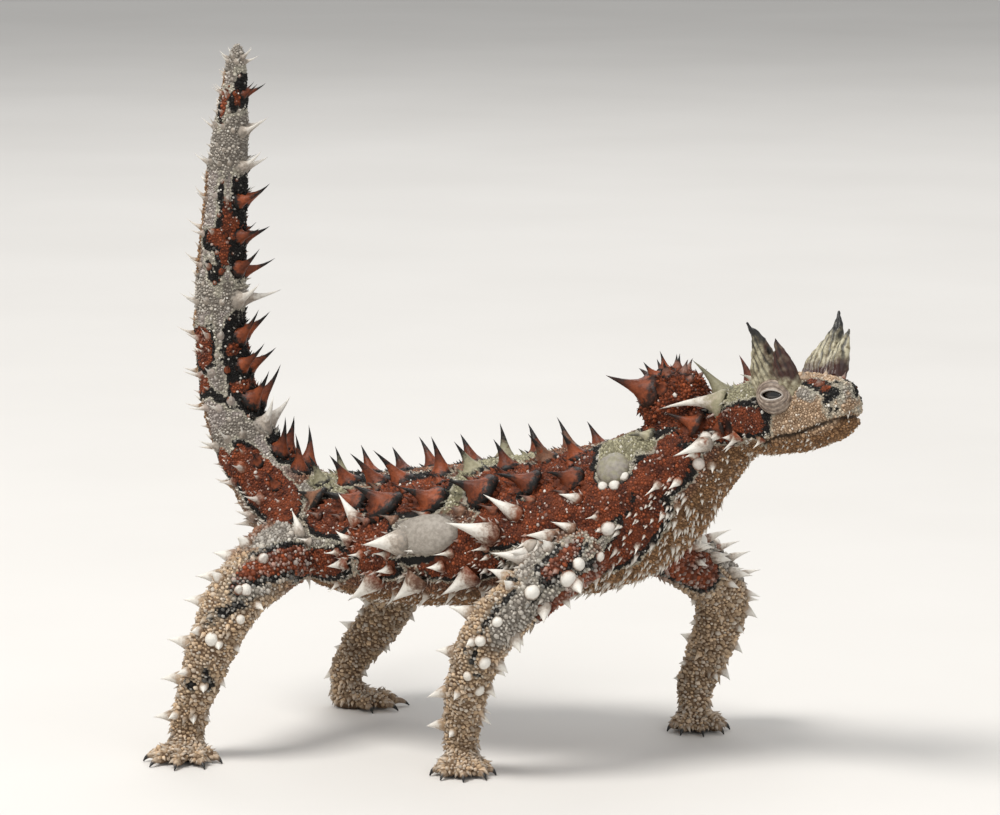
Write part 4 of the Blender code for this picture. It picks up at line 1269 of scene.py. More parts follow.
@dataclass(frozen=True)
class Hide:
    """The finish of the skin and of what grows on it.

    Fields:
        name: The material's name.
        brightness: How much lighter than the skin it is; the skin between granules and thorns is painted
            darker, as shade in the gaps.
        roughness: Its roughness.
        bump: The height of its fine grain, in millimetres.
        grain: How many cells of grain a millimetre holds.
        tipped: Whether its tips turn to the colour of bone or of soot.
        jag: How far the edges of the markings wander, in millimetres.
        contrast: How much one granule differs from the next.
    """

    name: str
    brightness: float
    roughness: float
    bump: float
    grain: float
    tipped: bool
    jag: float = 1.0
    contrast: float = 0.7

    GROUND_DARK = (0.050, 0.019, 0.011)
    GROUND_PALE = (0.26, 0.125, 0.070)
    TAIL_DARK = (0.20, 0.165, 0.145)
    TAIL_PALE = (0.42, 0.375, 0.345)
    CHEEK_DARK = (0.20, 0.115, 0.06)
    CHEEK_PALE = (0.54, 0.40, 0.275)
    GREY_DARK = (0.12, 0.10, 0.08)
    GREY = (0.37, 0.335, 0.29)
    OLIVE_DARK = (0.14, 0.125, 0.07)
    OLIVE_PALE = (0.36, 0.335, 0.225)
    UNDER_DARK = (0.08, 0.036, 0.014)
    UNDER_PALE = (0.30, 0.165, 0.075)
    TAN_DARK = (0.085, 0.042, 0.020)
    TAN_PALE = (0.52, 0.375, 0.235)
    RUST_DARK = (0.040, 0.009, 0.004)
    RUST_PALE = (0.225, 0.052, 0.016)
    SOOT = (0.006, 0.005, 0.004)
    EDGE = (0.42, 0.39, 0.31)
    BONE_DARK = (0.34, 0.27, 0.21)
    BONE = (0.70, 0.67, 0.61)

    def material(self) -> bpy.types.Material:
        """Makes the material.

        Returns:
            The material.
        """
        g = Graph(self.name)
        coarse, fine = g.noise(0.4, 3.0, 0.6), g.noise(1.6, 4.0, 0.6)
        # Each granule's random tone. The skin's lower value, with its brightness of 0, paints it darker
        # between the granules and thorns, as shade in the gaps.
        own = g.value("shade")
        spread = g.math("MULTIPLY", g.rise(fine, 0.36, 0.64), 0.5)
        spread = g.math("ADD", spread, g.math("MULTIPLY", own, 0.5))
        lift = g.math("MULTIPLY", g.math("ADD", spread, self.brightness), 0.62)
        jag = g.math("MULTIPLY", g.math("SUBTRACT", g.noise(0.9, 4.0, 0.65), 0.5), self.jag * 2.0)
        colour = g.mix(lift, self.GROUND_DARK, self.GROUND_PALE)
        colour = g.mix(g.value("tail"), colour, g.mix(lift, self.TAIL_DARK, self.TAIL_PALE))
        colour = g.mix(g.value("head"), colour, g.mix(lift, self.CHEEK_DARK, self.CHEEK_PALE))
        colour = g.mix(g.value("under"), colour, g.mix(lift, self.UNDER_DARK, self.UNDER_PALE))
        colour = g.mix(g.value("limb"), colour, g.mix(lift, self.TAN_DARK, self.TAN_PALE))
        grey = g.rise(g.math("ADD", g.value("grey"), jag), -0.3, 0.3)
        colour = g.mix(grey, colour, g.mix(lift, self.GREY_DARK, self.GREY))
        olive = g.rise(g.math("ADD", g.value("olive"), jag), -0.25, 0.25)
        colour = g.mix(olive, colour, g.mix(lift, self.OLIVE_DARK, self.OLIVE_PALE))
        edge = g.math("ADD", g.value("soot"), jag)
        on_body = g.math("SUBTRACT", 0.7, g.math("MULTIPLY", g.value("limb"), 0.5))
        colour = g.mix(g.math("MULTIPLY", g.rise(edge, -0.5, -0.25), on_body), colour, self.EDGE)
        colour = g.mix(g.rise(edge, -0.1, 0.1), colour, self.SOOT)
        # The rust is darker by noise, and also on the skin between the granules, as painted shade.
        depth = g.math("MULTIPLY", g.rise(coarse, 0.36, 0.62), 0.5)
        depth = g.math("ADD", depth, g.math("MULTIPLY", lift, 0.6))
        rust = g.rise(g.math("ADD", g.value("rust"), jag), -0.1, 0.1)
        colour = g.mix(rust, colour, g.mix(depth, self.RUST_DARK, self.RUST_PALE))
        # Darkens each granule by its random tone, and the skin between them as painted shade.
        shade = g.math("ADD", g.math("MULTIPLY", own, self.contrast), 1.0 - self.contrast / 2)
        colour = g.mix(1.0, colour, g.grey(shade), "MULTIPLY")
        # Painted shade in the mouth, the nostrils and the ears.
        colour = g.mix(g.math("MULTIPLY", g.value("hollow"), 0.9), colour, self.SOOT)
        if self.tipped:
            tip = g.value("tip")
            streak = g.math("ADD", tip, g.math("MULTIPLY", g.math("SUBTRACT", fine, 0.5), 0.9))
            stain = g.math("ADD", g.rise(streak, -0.1, 0.6), g.math("MULTIPLY", tip, 0.5))
            stain = g.math("SUBTRACT", stain, 0.3)
            bone = g.mix(stain, self.BONE_DARK, self.BONE)
            colour = g.mix(g.math("MULTIPLY", g.value("bone"), g.rise(streak, -0.1, 0.4)), colour, bone)
            colour = g.mix(g.math("MULTIPLY", g.value("burn"), g.rise(streak, 0.3, 0.68)), colour, self.SOOT)
            # A black ring round the foot of each dark-tipped thorn: painted shade where it meets the skin,
            # and the hide's black outline there.
            low = g.math("ADD", tip, g.math("MULTIPLY", g.math("SUBTRACT", fine, 0.5), 0.3))
            foot = g.math("MULTIPLY", g.value("foot"), g.rise(low, 0.12, 0.0))
            colour = g.mix(foot, colour, self.SOOT)
        g.feed(g.shader.inputs["Base Color"], colour)
        g.shader.inputs["Roughness"].default_value = self.roughness
        g.shader.inputs["Specular IOR Level"].default_value = 0.25
        g.bump(g.cells(self.grain), 0.6, self.bump)
        return g.material


SKIN_FINISH = Hide("hide", 0.0, 0.75, 0.12, 2.6, False)
GRANULE_FINISH = Hide("granules", 0.55, 0.62, 0.05, 5.0, True)
THORN_FINISH = Hide("thorns", 0.35, 0.5, 0.06, 3.5, True, contrast=0.3)


@dataclass(frozen=True)
class Bone:
    """The finish of horns and claws: pale, with painted shade streaked along the grooves of a horn's flutes,
    and dark tips.

    Fields:
        name: The material's name.
        low: Its darker colour.
        high: Its paler colour.
    """

    name: str
    low: tuple[float, float, float]
    high: tuple[float, float, float]

    def material(self) -> bpy.types.Material:
        """Makes the material.

        Returns:
            The material.
        """
        g = Graph(self.name)
        colour = g.mix(g.rise(g.noise(1.1, 4.0, 0.6), 0.35, 0.65), self.low, self.high)
        colour = g.mix(g.value("rust"), colour, Hide.RUST_DARK)
        # Painted shade along the grooves of the flutes.
        colour = g.mix(g.math("MULTIPLY", g.value("flute"), 0.85), colour, Hide.SOOT)
        tip = g.math("ADD", g.value("tip"), g.math("MULTIPLY", g.math("SUBTRACT", g.noise(0.8), 0.5), 0.5))
        colour = g.mix(g.rise(tip, 0.58, 0.84), colour, Hide.SOOT)
        g.feed(g.shader.inputs["Base Color"], colour)
        g.shader.inputs["Roughness"].default_value = 0.45
        g.bump(g.noise(3.0, 3.0), 0.5, 0.1)
        return g.material


@dataclass(frozen=True)
class WetEye:
    """The finish of the eyeball: near black and wet.

    Fields:
        name: The material's name.
    """

    name: str = "eyeball"

    DARK = (0.004, 0.003, 0.003)
    PALE = (0.02, 0.012, 0.008)

    def material(self) -> bpy.types.Material:
        """Makes the material.

        Returns:
            The material.
        """
        g = Graph(self.name)
        colour = g.mix(g.rise(g.noise(1.5), 0.4, 0.7), self.DARK, self.PALE)
        g.feed(g.shader.inputs["Base Color"], colour)
        g.shader.inputs["Roughness"].default_value = 0.08
        g.shader.inputs["Coat Weight"].default_value = 1.0
        return g.material


@dataclass(frozen=True)
class Lid:
    """The finish of the eyelids: grey rings with a pale rim, and painted shade in the grooves between the
    rings.

    Fields:
        name: The material's name.
    """

    name: str = "eyelid"

    DARK = (0.16, 0.115, 0.085)
    PALE = (0.36, 0.29, 0.23)
    RIM = (0.40, 0.36, 0.32)
    GROOVE = (0.05, 0.032, 0.024)

    def material(self) -> bpy.types.Material:
        """Makes the material.

        Returns:
            The material.
        """
        g = Graph(self.name)
        ring = g.value("tip")
        colour = g.mix(g.rise(g.noise(1.8, 3.0), 0.3, 0.7), self.DARK, self.PALE)
        colour = g.mix(g.rise(ring, 0.92, 0.97), colour, self.RIM)
        # Painted shade in the grooves between the rings of the lids.
        groove = g.math("MULTIPLY", g.value("groove"), g.rise(g.noise(0.9), 0.3, 0.6))
        colour = g.mix(groove, colour, self.GROOVE)
        g.feed(g.shader.inputs["Base Color"], colour)
        g.shader.inputs["Roughness"].default_value = 0.5
        g.bump(g.noise(4.0, 3.0), 0.5, 0.06)
        return g.material


def evaluated_copy(piece: bpy.types.Object) -> None:
    """Puts a piece's modifiers into its mesh.

    Args:
        piece: The object.
    """
    bpy.context.view_layer.update()
    mesh = bpy.data.meshes.new_from_object(piece.evaluated_get(bpy.context.evaluated_depsgraph_get()))
    piece.modifiers.clear()
    piece.data = mesh
    mesh.name = piece.name


def remesh(piece: bpy.types.Object, voxel: float, rounds: int) -> None:
    """Makes one closed surface of overlapping ones, and smooths it.

    Args:
        piece: The object.
        voxel: The size of its new faces, in millimetres.
        rounds: How many times its points are evened out.
    """
    modifier = piece.modifiers.new("one_surface", "REMESH")
    modifier.mode = "VOXEL"
    modifier.voxel_size = voxel * MM
    modifier.use_smooth_shade = True
    evener = piece.modifiers.new("evened", "SMOOTH")
    evener.factor = 0.5
    evener.iterations = rounds
    evaluated_copy(piece)


def normals_of(mesh: bpy.types.Mesh) -> np.ndarray:
    """The direction that each vertex faces.

    Args:
        mesh: The mesh.

    Returns:
        One direction a row.
    """
    flat = np.zeros(len(mesh.vertices) * 3, np.float32)
    mesh.vertices.foreach_get("normal", flat)
    return flat.reshape(-1, 3).astype(float)


def noise_at(points: np.ndarray, scale: float, octaves: int = 3, seed: float = 0.0) -> np.ndarray:
    """Fractal noise from about -1 to 1 at points, with a scale in marks for each millimetre.

    Args:
        points: The points, in the plan's millimetres, one a row.
        scale: How many marks a millimetre holds.
        octaves: How many sizes of mark it has.
        seed: What sets it apart from other noise.

    Returns:
        One number for each point.
    """
    move = Vector((seed, seed * 1.7, seed * 2.3))
    return np.array([noise.fractal(Vector(p) * scale + move, 1.0, 2.0, octaves) for p in points])


@dataclass
class Skin:
    """The one closed skin over all the flesh.

    Fields:
        inset: How far it lies inside the solids, for the coat.
        voxel: The size of its faces.
        rounds: How many times its points are evened out.
        fold_height: The height of its soft folds.
        gap_shade: How light it is between the granules, from 0 to 1, where it is painted darker as shade in
            the gaps.
        places: Where its points lie, once it is built.
    """

    inset: float = 0.25
    voxel: float = 0.42
    rounds: int = 6
    fold_height: float = 0.28
    gap_shade: float = 0.2
    places: Places | None = None

    def build(self) -> bpy.types.Object:
        """Makes the skin, with its markings on its vertices.

        Returns:
            The skin.
        """
        bm = bmesh.new()
        loft(bm, BODY, 0.0, BODY.length - 0.02, 1.1, 44, self.inset)
        for leg in LEGS:
            loft(bm, leg.line, 0.0, leg.line.length, 1.0, 28, self.inset * 0.6)
            self.add_foot(bm, leg)
        tilt = Matrix.Rotation(math.radians(KNOB_TILT), 3, "Y")
        ball(bm, KNOB_AT, tuple(radius - self.inset for radius in KNOB_RADII), tilt)
        skin = finished("skin", bm)
        remesh(skin, self.voxel, self.rounds)
        points = self.shaped(plan_points(skin.data), normals_of(skin.data))
        write_points(skin.data, points)
        skin.data.shade_smooth()
        self.places = CHART.places(points)
        for name, values in MARKINGS.values(self.places, points).items():
            write_values(skin.data, name, values)
        # The skin between the granules is painted darker, as shade in the gaps.
        write_values(skin.data, "shade", np.full(len(points), self.gap_shade))
        skin.data.materials.append(SKIN_FINISH.material())
        return settle(skin, Slot.BACK, *self.nodes())

    @staticmethod
    def nodes() -> list[str]:
        """The solids that the skin stands for.

        Returns:
            Their names.
        """
        trunk = ["head", "neck", "neck_knob", "torso", "tail_base", "tail_middle", "tail_tip"]
        return trunk + [f"{leg.name}_{part}" for leg in LEGS for part in ("upper_leg", "lower_leg", "foot")]

    def add_foot(self, bm: bmesh.types.BMesh, leg: Leg) -> None:
        """Adds the sole and the toes of a leg.

        Args:
            bm: The mesh that gets it, in millimetres.
            leg: The leg.
        """
        turn = Matrix.Rotation(math.radians(leg.heading), 3, "Z")
        ball(bm, leg.sole + Vector((0.0, 0.0, SOLE_HEIGHT)), SOLE_RADII, turn)
        for fan, share in zip(TOE_FAN, TOE_SHARES):
            ahead = level(leg.heading + fan)
            start = leg.sole + ahead * TOE_ROOT
            length = leg.toe_length * share
            stations = tuple(
                (*(start + ahead * (length * out) + Vector((0.0, 0.0, height))), *(TOE_RADIUS * thick,) * 3)
                for out, height, thick in TOE_LEVELS
            )
            toe = Line(stations, tuple(level(leg.heading + fan - 90.0)))
            loft(bm, toe, 0.0, toe.length, 0.6, 14, 0.0)

    def shaped(self, points: np.ndarray, normals: np.ndarray) -> np.ndarray:
        """The skin's points after its folds, sockets, mouth and nostrils are pressed into it.

        Args:
            points: The points, in the plan's millimetres, one a row.
            normals: The direction that each faces.

        Returns:
            The moved points.
        """
        folds = noise_at(points, 0.32, 3) * self.fold_height + noise_at(points, 1.1, 2, 9.0) * 0.12
        folds *= np.clip(points[:, 2] / 4.0, 0.2, 1.0)
        folds += FACE.press(points)
        points = points + normals * folds[:, None]
        points[:, 2] = np.maximum(points[:, 2], SKIN_GAP)
        for side in Side:
            eye = np.array(on_head(0.0, EYE_LEFT * side.value, 0.0))
            outwards = np.array(head_turn(EYE_AHEAD, side.value, EYE_UP).normalized())
            rel = points - eye
            height = rel @ outwards
            around = np.linalg.norm(rel - height[:, None] * outwards, axis=1)
            press = np.clip((SOCKET_RADIUS - around) / SOCKET_EDGE, 0.0, 1.0) * (height > 0)
            points -= outwards * (press * np.maximum(height - SOCKET_HEIGHT, 0.0))[:, None]
        return points


@dataclass(frozen=True)
class Form:
    """A small closed form that is repeated: its points in its own units, and its triangles.

    Its x runs along the lie of the coat and its y across, in root radii. Its z is the share of the length.

    Fields:
        points: The points, one a row.
        faces: The numbers of each triangle's points.
    """

    points: np.ndarray
    faces: np.ndarray

    @staticmethod
    def spine(levels: tuple, sides: int, flutes: int = 0, depth: float = 0.0) -> "Form":
        """A spine from levels of share of the length and share of the radius, the last its tip.

        Args:
            levels: The levels.
            sides: How many sides it has.
            flutes: How many flutes it has.
            depth: How deep they are, as a share.

        Returns:
            The form.
        """
        bm = bmesh.new()
        ring = bmesh.ops.create_circle(bm, segments=sides, radius=levels[0][1])["verts"]
        bmesh.ops.translate(bm, vec=(0.0, 0.0, levels[0][0]), verts=ring)
        edges = edges_of(ring)
        bmesh.ops.holes_fill(bm, edges=edges, sides=sides)
        before = levels[0]
        for share, radius in levels[1:]:
            made = bmesh.ops.extrude_edge_only(bm, edges=edges)["geom"]
            ring = [item for item in made if isinstance(item, bmesh.types.BMVert)]
            edges = [item for item in made if isinstance(item, bmesh.types.BMEdge)]
            grow = max(radius, 0.02) / before[1]
            bmesh.ops.scale(bm, vec=(grow, grow, 1.0), verts=ring)
            bmesh.ops.translate(bm, vec=(0.0, 0.0, share - before[0]), verts=ring)
            before = (share, max(radius, 0.02))
        bmesh.ops.pointmerge(bm, verts=ring, merge_co=(0.0, 0.0, before[0]))
        for vertex in bm.verts:
            turn = math.atan2(vertex.co.y, vertex.co.x)
            wave = 1.0 + depth * math.cos(flutes * turn) * (1.0 - max(vertex.co.z, 0.0))
            vertex.co.xy = vertex.co.xy * wave
        bmesh.ops.triangulate(bm, faces=bm.faces)
        bmesh.ops.recalc_face_normals(bm, faces=bm.faces)
        bm.verts.index_update()
        points = np.array([vertex.co for vertex in bm.verts])
        faces = np.array([[vertex.index for vertex in face.verts] for face in bm.faces])
        bm.free()
        return Form(points, faces)


# Levels of the forms, from under the skin to the tip: share of the length, share of the root radius
HOLLOW = (
    (-0.06, 1.2), (0.0, 1.0), (0.1, 0.7), (0.24, 0.46), (0.42, 0.29), (0.62, 0.17), (0.82, 0.08), (1.0, 0.0),
)
FULL = (
    (-0.06, 1.1), (0.0, 1.0), (0.12, 0.93), (0.28, 0.76), (0.46, 0.55), (0.66, 0.32),
    (0.84, 0.14), (1.0, 0.0),
)
DOME = ((-0.3, 1.06), (0.0, 1.0), (0.3, 0.91), (0.58, 0.7), (0.82, 0.4), (1.0, 0.0))
SPIKELET = ((-0.2, 1.1), (0.1, 0.85), (0.45, 0.42), (1.0, 0.0))
GRANULE = ((-0.35, 1.05), (0.5, 0.78), (1.0, 0.0))
HOLLOW_FORM = Form.spine(HOLLOW, 14, 7, 0.13)
FULL_FORM = Form.spine(FULL, 14, 7, 0.04)
DOME_FORM = Form.spine(DOME, 14, 5, 0.03)
SPIKELET_FORM = Form.spine(SPIKELET, 5)
GRANULE_FORM = Form.spine(GRANULE, 5)


@dataclass
class Crop:
    """What is planted in one go: where each form grows, how, and what colour it takes.

    Fields:
        roots: The points of the skin that they grow from, in millimetres.
        outwards: The direction that the skin faces there.
        lies: The direction that they lean in, level with the skin.
        lengths: How long they are.
        radii: Their root radii.
        leans: How far they lean, in degrees.
        bones: How white their tips turn, from 0 to 1.
        burns: How black their tips turn, from 0 to 1.
        squashes: Their width across their lie, as a share of their width along it.
        sooty: Whether a root on black hide is black. It is rust otherwise, and only its tip and, where the
            tip turns black, a ring round its foot are black; that ring is painted shade where it meets the
            skin, and the hide's black outline.
        patch: The width of each one's patch on the map of the unrolled skin.
    """

    roots: np.ndarray
    outwards: np.ndarray
    lies: np.ndarray
    lengths: np.ndarray
    radii: np.ndarray
    leans: np.ndarray
    bones: np.ndarray
    burns: np.ndarray
    squashes: np.ndarray
    sooty: bool = True
    patch: float = 0.003

    def plant(self, name: str, form: Form, finish: bpy.types.Material) -> bpy.types.Object:
        """Grows one form at every root, as one mesh.

        Args:
            name: The piece's name.
            form: The form.
            finish: Its material.

        Returns:
            The piece.
        """
        lies = unit(self.lies - self.outwards * np.sum(self.lies * self.outwards, axis=1, keepdims=True))
        across = np.cross(self.outwards, lies)
        lean = np.radians(self.leans)[:, None]
        x, y, t = form.points.T
        above = np.maximum(t, 0.0)
        stand = self.lengths[:, None] * np.cos(lean) * above + self.radii[:, None] * np.minimum(t, 0.0) * 6.0
        swept = self.lengths[:, None] * np.sin(lean) * (0.4 * above + 0.6 * above**2)
        slope_out, slope_on = np.cos(lean) * np.ones_like(t), np.sin(lean) * (0.4 + 1.2 * above)
        size = np.hypot(slope_out, slope_on)
        slope_out, slope_on = slope_out / size, slope_on / size
        wide = self.radii[:, None] * x
        out = stand - wide * slope_on
        on = swept + wide * slope_out
        aside = (self.radii * self.squashes)[:, None] * y
        points = (
            self.roots[:, None]
            + self.outwards[:, None] * out[..., None]
            + lies[:, None] * on[..., None]
            + across[:, None] * aside[..., None]
        ).reshape(-1, 3)
        points[:, 2] = np.maximum(points[:, 2], FLOOR_GAP)
        count, size = len(self.roots), len(form.points)
        faces = (form.faces[None] + (np.arange(count) * size)[:, None, None]).reshape(-1, 3)
        mesh = self.mesh(name, points, faces)
        self.colour(mesh, form)
        mesh.materials.append(finish)
        piece = bpy.data.objects.new(name, mesh)
        bpy.context.scene.collection.objects.link(piece)
        return piece

    @staticmethod
    def mesh(name: str, points: np.ndarray, faces: np.ndarray) -> bpy.types.Mesh:
        """A mesh of triangles, shaded smooth.

        Args:
            name: Its name.
            points: The points, in the plan's millimetres, one a row.
            faces: The numbers of each triangle's points.

        Returns:
            The piece.
        """
        mesh = bpy.data.meshes.new(name)
        mesh.vertices.add(len(points))
        mesh.loops.add(faces.size)
        mesh.polygons.add(len(faces))
        mesh.loops.foreach_set("vertex_index", faces.ravel().astype(np.int32))
        mesh.polygons.foreach_set("loop_start", np.arange(0, faces.size, 3, dtype=np.int32))
        mesh.polygons.foreach_set("loop_total", np.full(len(faces), 3, np.int32))
        write_points(mesh, points)
        mesh.update(calc_edges=True)
        mesh.validate()
        mesh.shade_smooth()
        return mesh

    def colour(self, mesh: bpy.types.Mesh, form: Form) -> None:
        """Keeps the markings of each root on its form, and places it on the map.

        Args:
            mesh: The mesh.
            form: The form that is repeated.
        """
        places = CHART.places(self.roots)
        size = len(form.points)
        marks = MARKINGS.values(places, self.roots)
        if not self.sooty:
            marks["rust"] = np.maximum(marks["rust"], marks["soot"])
            marks["soot"] = np.full(len(self.roots), -MARKINGS.clip)
        for name, values in marks.items():
            write_values(mesh, name, np.repeat(values, size))
        tips = np.tile(np.maximum(form.points[:, 2], 0.0), len(self.roots))
        write_values(mesh, "tip", tips)
        write_values(mesh, "bone", np.repeat(self.bones, size))
        write_values(mesh, "burn", np.repeat(self.burns, size))
        # A black ring at the foot of each dark-tipped thorn, partly painted shade where it meets the skin.
        write_values(mesh, "foot", np.repeat(self.burns * (not self.sooty), size))
        shades = np.random.default_rng(COAT_SEED).uniform(0.0, 1.0, len(self.roots))
        write_values(mesh, "shade", np.repeat(shades, size))
        flat = np.repeat(on_map(places), size, axis=0)
        flat += np.tile(form.points[:, :2] * (self.patch / 2), (len(self.roots), 1))
        corners = np.zeros(len(mesh.loops), np.int32)
        mesh.loops.foreach_get("vertex_index", corners)
        layer = mesh.uv_layers.new(name="OFBake")
        layer.uv.foreach_set("vector", flat[corners].astype(np.float32).ravel())


MAP_MILLIMETRE = 0.005  # the share of the map's width that one millimetre of skin takes
LEG_MAP_STEP, LEG_MAP_LOW = 0.245, 0.56


def on_map(places: Places) -> np.ndarray:
    """Where places lie on the unrolled skin: the body below, and the four legs in a row above it.

    Args:
        places: Where the points lie.

    Returns:
        The place of each on the map, from 0 to 1.
    """
    turn = (places.angle + 180.0) / 360.0
    body = np.stack([0.015 + places.along * MAP_MILLIMETRE, 0.02 + turn * 0.5], axis=1)
    column = 0.02 + (places.line - 1) * LEG_MAP_STEP
    legs = np.stack([column + places.along * MAP_MILLIMETRE, LEG_MAP_LOW + turn * 0.2], axis=1)
    return np.where((places.line == 0)[:, None], body, legs)


class Ground:
    """The skin as something to plant on: where it is nearest, and what direction it faces."""

    def __init__(self, skin: bpy.types.Object, places: Places) -> None:
        """Takes the finished skin, and where its points lie.

        Args:
            skin: The finished skin.
            places: Where the points lie.
        """
        self.points = plan_points(skin.data)
        self.normals = normals_of(skin.data)
        self.places = places
        self.polygons = [tuple(face.vertices) for face in skin.data.polygons]
        self.tree = BVHTree.FromPolygons([Vector(p) for p in self.points], self.polygons)

    def nearest(self, point: Vector) -> tuple[Vector, Vector]:
        """The skin's point nearest to another, and the direction that it faces.

        Args:
            point: The other point.

        Returns:
            The point and the direction.
        """
        place, normal, _, _ = self.tree.find_nearest(point)
        return place, normal


def lie_of(places: Places) -> np.ndarray:
    """The direction of the coat's lie: towards the tail on the body, and down a leg.

    Args:
        places: Where the points lie.

    Returns:
        One direction a row.
    """
    lines = [BODY] + [leg.line for leg in LEGS]
    found = np.zeros((len(places.along), 3))
    for number, line in enumerate(lines):
        pick = np.flatnonzero(places.line == number)
        steps = np.arange(0.0, line.length + 1.0, 1.0)
        ways = np.array([line.frame(min(float(step), line.length))[1] for step in steps])
        index = np.clip(np.round(places.along[pick]).astype(int), 0, len(steps) - 1)
        found[pick] = ways[index] * (-1.0 if number == 0 else 1.0)
    return found


# Rows of thorns along each side of the trunk: from x, to x, step, degrees from the middle of the back,
# length, root radius, lean towards the tail in degrees, how white and how black the tips turn
TRUNK_ROWS = (
    (4.6, 59.0, 6.1, 19.0, 5.6, 2.3, 16.0, 0.0, 1.0),
    (7.0, 58.0, 7.8, 46.0, 5.4, 3.3, 54.0, 0.0, 1.0),
    (8.5, 58.0, 4.9, 131.0, 2.4, 1.0, 24.0, 1.4, 0.0),
    (8.0, 57.0, 5.6, 33.0, 2.2, 1.0, 40.0, 0.0, 0.9),
    (9.0, 54.0, 5.4, 61.0, 2.3, 1.1, 44.0, 0.2, 0.6),
    (9.0, 56.0, 5.2, 90.0, 2.2, 1.0, 46.0, 1.2, 0.0),
)
# The same along the neck, with shares of its length for x
NECK_ROWS = (
    (0.30, 0.92, 0.60, 40.0, 3.0, 1.4, 46.0, 0.2, 0.8),
    (0.24, 0.95, 0.34, 97.0, 2.4, 1.0, 50.0, 1.4, 0.0),
    (0.24, 0.95, 0.34, 130.0, 1.6, 0.8, 30.0, 1.0, 0.0),
)
# The teeth of the flanks, shoulders and neck, on both sides: distance along the body line and degrees of
# the root, the same of the tip, length and root radius
FLANK_TEETH = (
    (92.5, 62.0, 88.7, 46.0, 5.6, 1.5),
    (91.4, 79.0, 88.4, 71.0, 3.4, 1.1),
    (100.8, 80.0, 95.6, 84.0, 5.2, 2.5),
    (115.5, 80.0, 109.2, 71.0, 7.2, 2.4),
    (119.5, 68.0, 115.7, 55.0, 5.6, 1.8),
    (95.4, 114.0, 89.6, 130.0, 5.4, 2.2),
    (102.6, 114.0, 96.8, 127.0, 5.4, 2.2),
    (111.2, 113.0, 105.4, 124.0, 6.0, 2.2),
    (98.6, 103.0, 94.6, 99.0, 2.2, 1.0),
    (107.4, 102.0, 103.4, 98.0, 2.4, 1.1),
    (90.6, 100.0, 86.4, 108.0, 3.2, 1.2),
    (120.2, 103.5, 115.6, 93.0, 5.4, 2.3),
    (121.8, 98.0, 119.6, 88.0, 4.4, 1.8),
    (124.6, 100.0, 123.0, 92.0, 3.8, 1.5),
    (127.4, 91.0, 125.4, 83.0, 3.2, 1.2),
    (129.4, 69.0, 126.2, 62.0, 3.0, 1.2),
    (148.1, 102.0, 143.4, 78.0, 5.4, 1.7),
    (151.4, 108.0, 147.6, 104.0, 2.4, 1.0),
    (157.4, 116.0, 153.4, 113.0, 2.2, 0.9),
    (143.2, 109.0, 140.2, 105.0, 1.9, 0.9),
    (80.6, 96.0, 76.6, 88.0, 3.6, 1.3),
)
TOOTH_LEAN = 62.0
TOOTH_BONE = 1.0
TOOTH_SQUASH = 0.78  # a tooth's width as a share of its width along its lie
SPINE_SQUASH = 0.85  # and a spine's
# Rounded bosses on both sides: the same place, root radius, height, width as a share of the length, and
# how white they are
BOSSES = (
    (105.0, 75.0, 5.2, 1.5, 0.56, 0.0),
    (136.2, 57.0, 2.8, 1.5, 0.95, 0.1),
    (134.0, 68.5, 0.75, 0.6, 1.0, 0.9),
    (135.6, 73.0, 0.85, 0.7, 1.0, 0.9),
    (137.4, 70.0, 0.75, 0.6, 1.0, 0.9),
    (121.4, 102.0, 2.6, 1.2, 0.8, 0.9),
    (125.0, 118.0, 1.5, 1.3, 1.0, 1.2),
    (123.0, 128.0, 1.5, 1.3, 1.0, 1.2),
    (132.0, 103.0, 1.2, 1.0, 0.9, 0.8),
    (127.8, 113.0, 0.8, 0.7, 1.0, 0.9),
    (148.8, 99.0, 1.1, 0.9, 1.0, 0.8),
    (151.0, 101.0, 0.7, 0.6, 1.0, 0.8),
    (146.2, 113.0, 1.0, 0.8, 1.0, 0.7),
    (153.6, 104.0, 0.7, 0.6, 1.0, 0.7),
)
# The same on the legs
HIND_BOSSES = (
    (27.0, 15.0, 1.2, 0.9, 0.9, 1.0),
    (20.6, 44.0, 1.0, 0.8, 1.0, 0.9),
    (23.4, 62.0, 0.8, 0.7, 1.0, 0.9),
)
FORE_BOSSES = (
    (10.7, 60.0, 1.1, 0.9, 1.0, 1.2),
    (12.9, 68.0, 1.4, 1.1, 0.9, 1.3),
    (17.5, 37.0, 1.3, 1.1, 0.9, 1.3),
    (23.0, 24.0, 0.9, 0.8, 0.9, 1.0),
    (26.0, 8.0, 1.0, 0.9, 0.9, 1.2),
    (28.5, 36.0, 1.1, 0.9, 0.9, 1.2),
    (31.4, 8.0, 0.8, 0.7, 0.9, 0.8),
    (33.4, 47.0, 1.0, 0.8, 0.8, 0.9),
)
# Whorls round the tail: degrees from its upper side, length and root radius as shares of its half width,
# how white and how black the tips turn, or -1 where a tip is white over grey hide and black over the rest
WHORL = (
    (15.0, 1.0, 0.36, -1.0, -1.0),
    (58.0, 0.36, 0.15, -1.0, -1.0),
    (92.0, 0.36, 0.15, 0.8, 0.0),
    (126.0, 0.38, 0.16, 0.8, 0.0),
    (162.0, 0.40, 0.17, 0.8, 0.0),
)
SMALL_WHORL = ((36.0, 0.5, 0.3), (75.0, 0.9, 0.4), (108.0, 1.0, 0.4), (144.0, 1.1, 0.42), (176.0, 0.9, 0.4))
WHORL_STEP = 5.3
WHORL_EXTRA = 1.2
WHORL_LARGEST = (4.2, 1.9)
WHORL_LEAN = 26.0
LEAST_RADIUS = 0.5
TAIL_CLEARANCE = 1.5  # how far the last whorl keeps from the torso
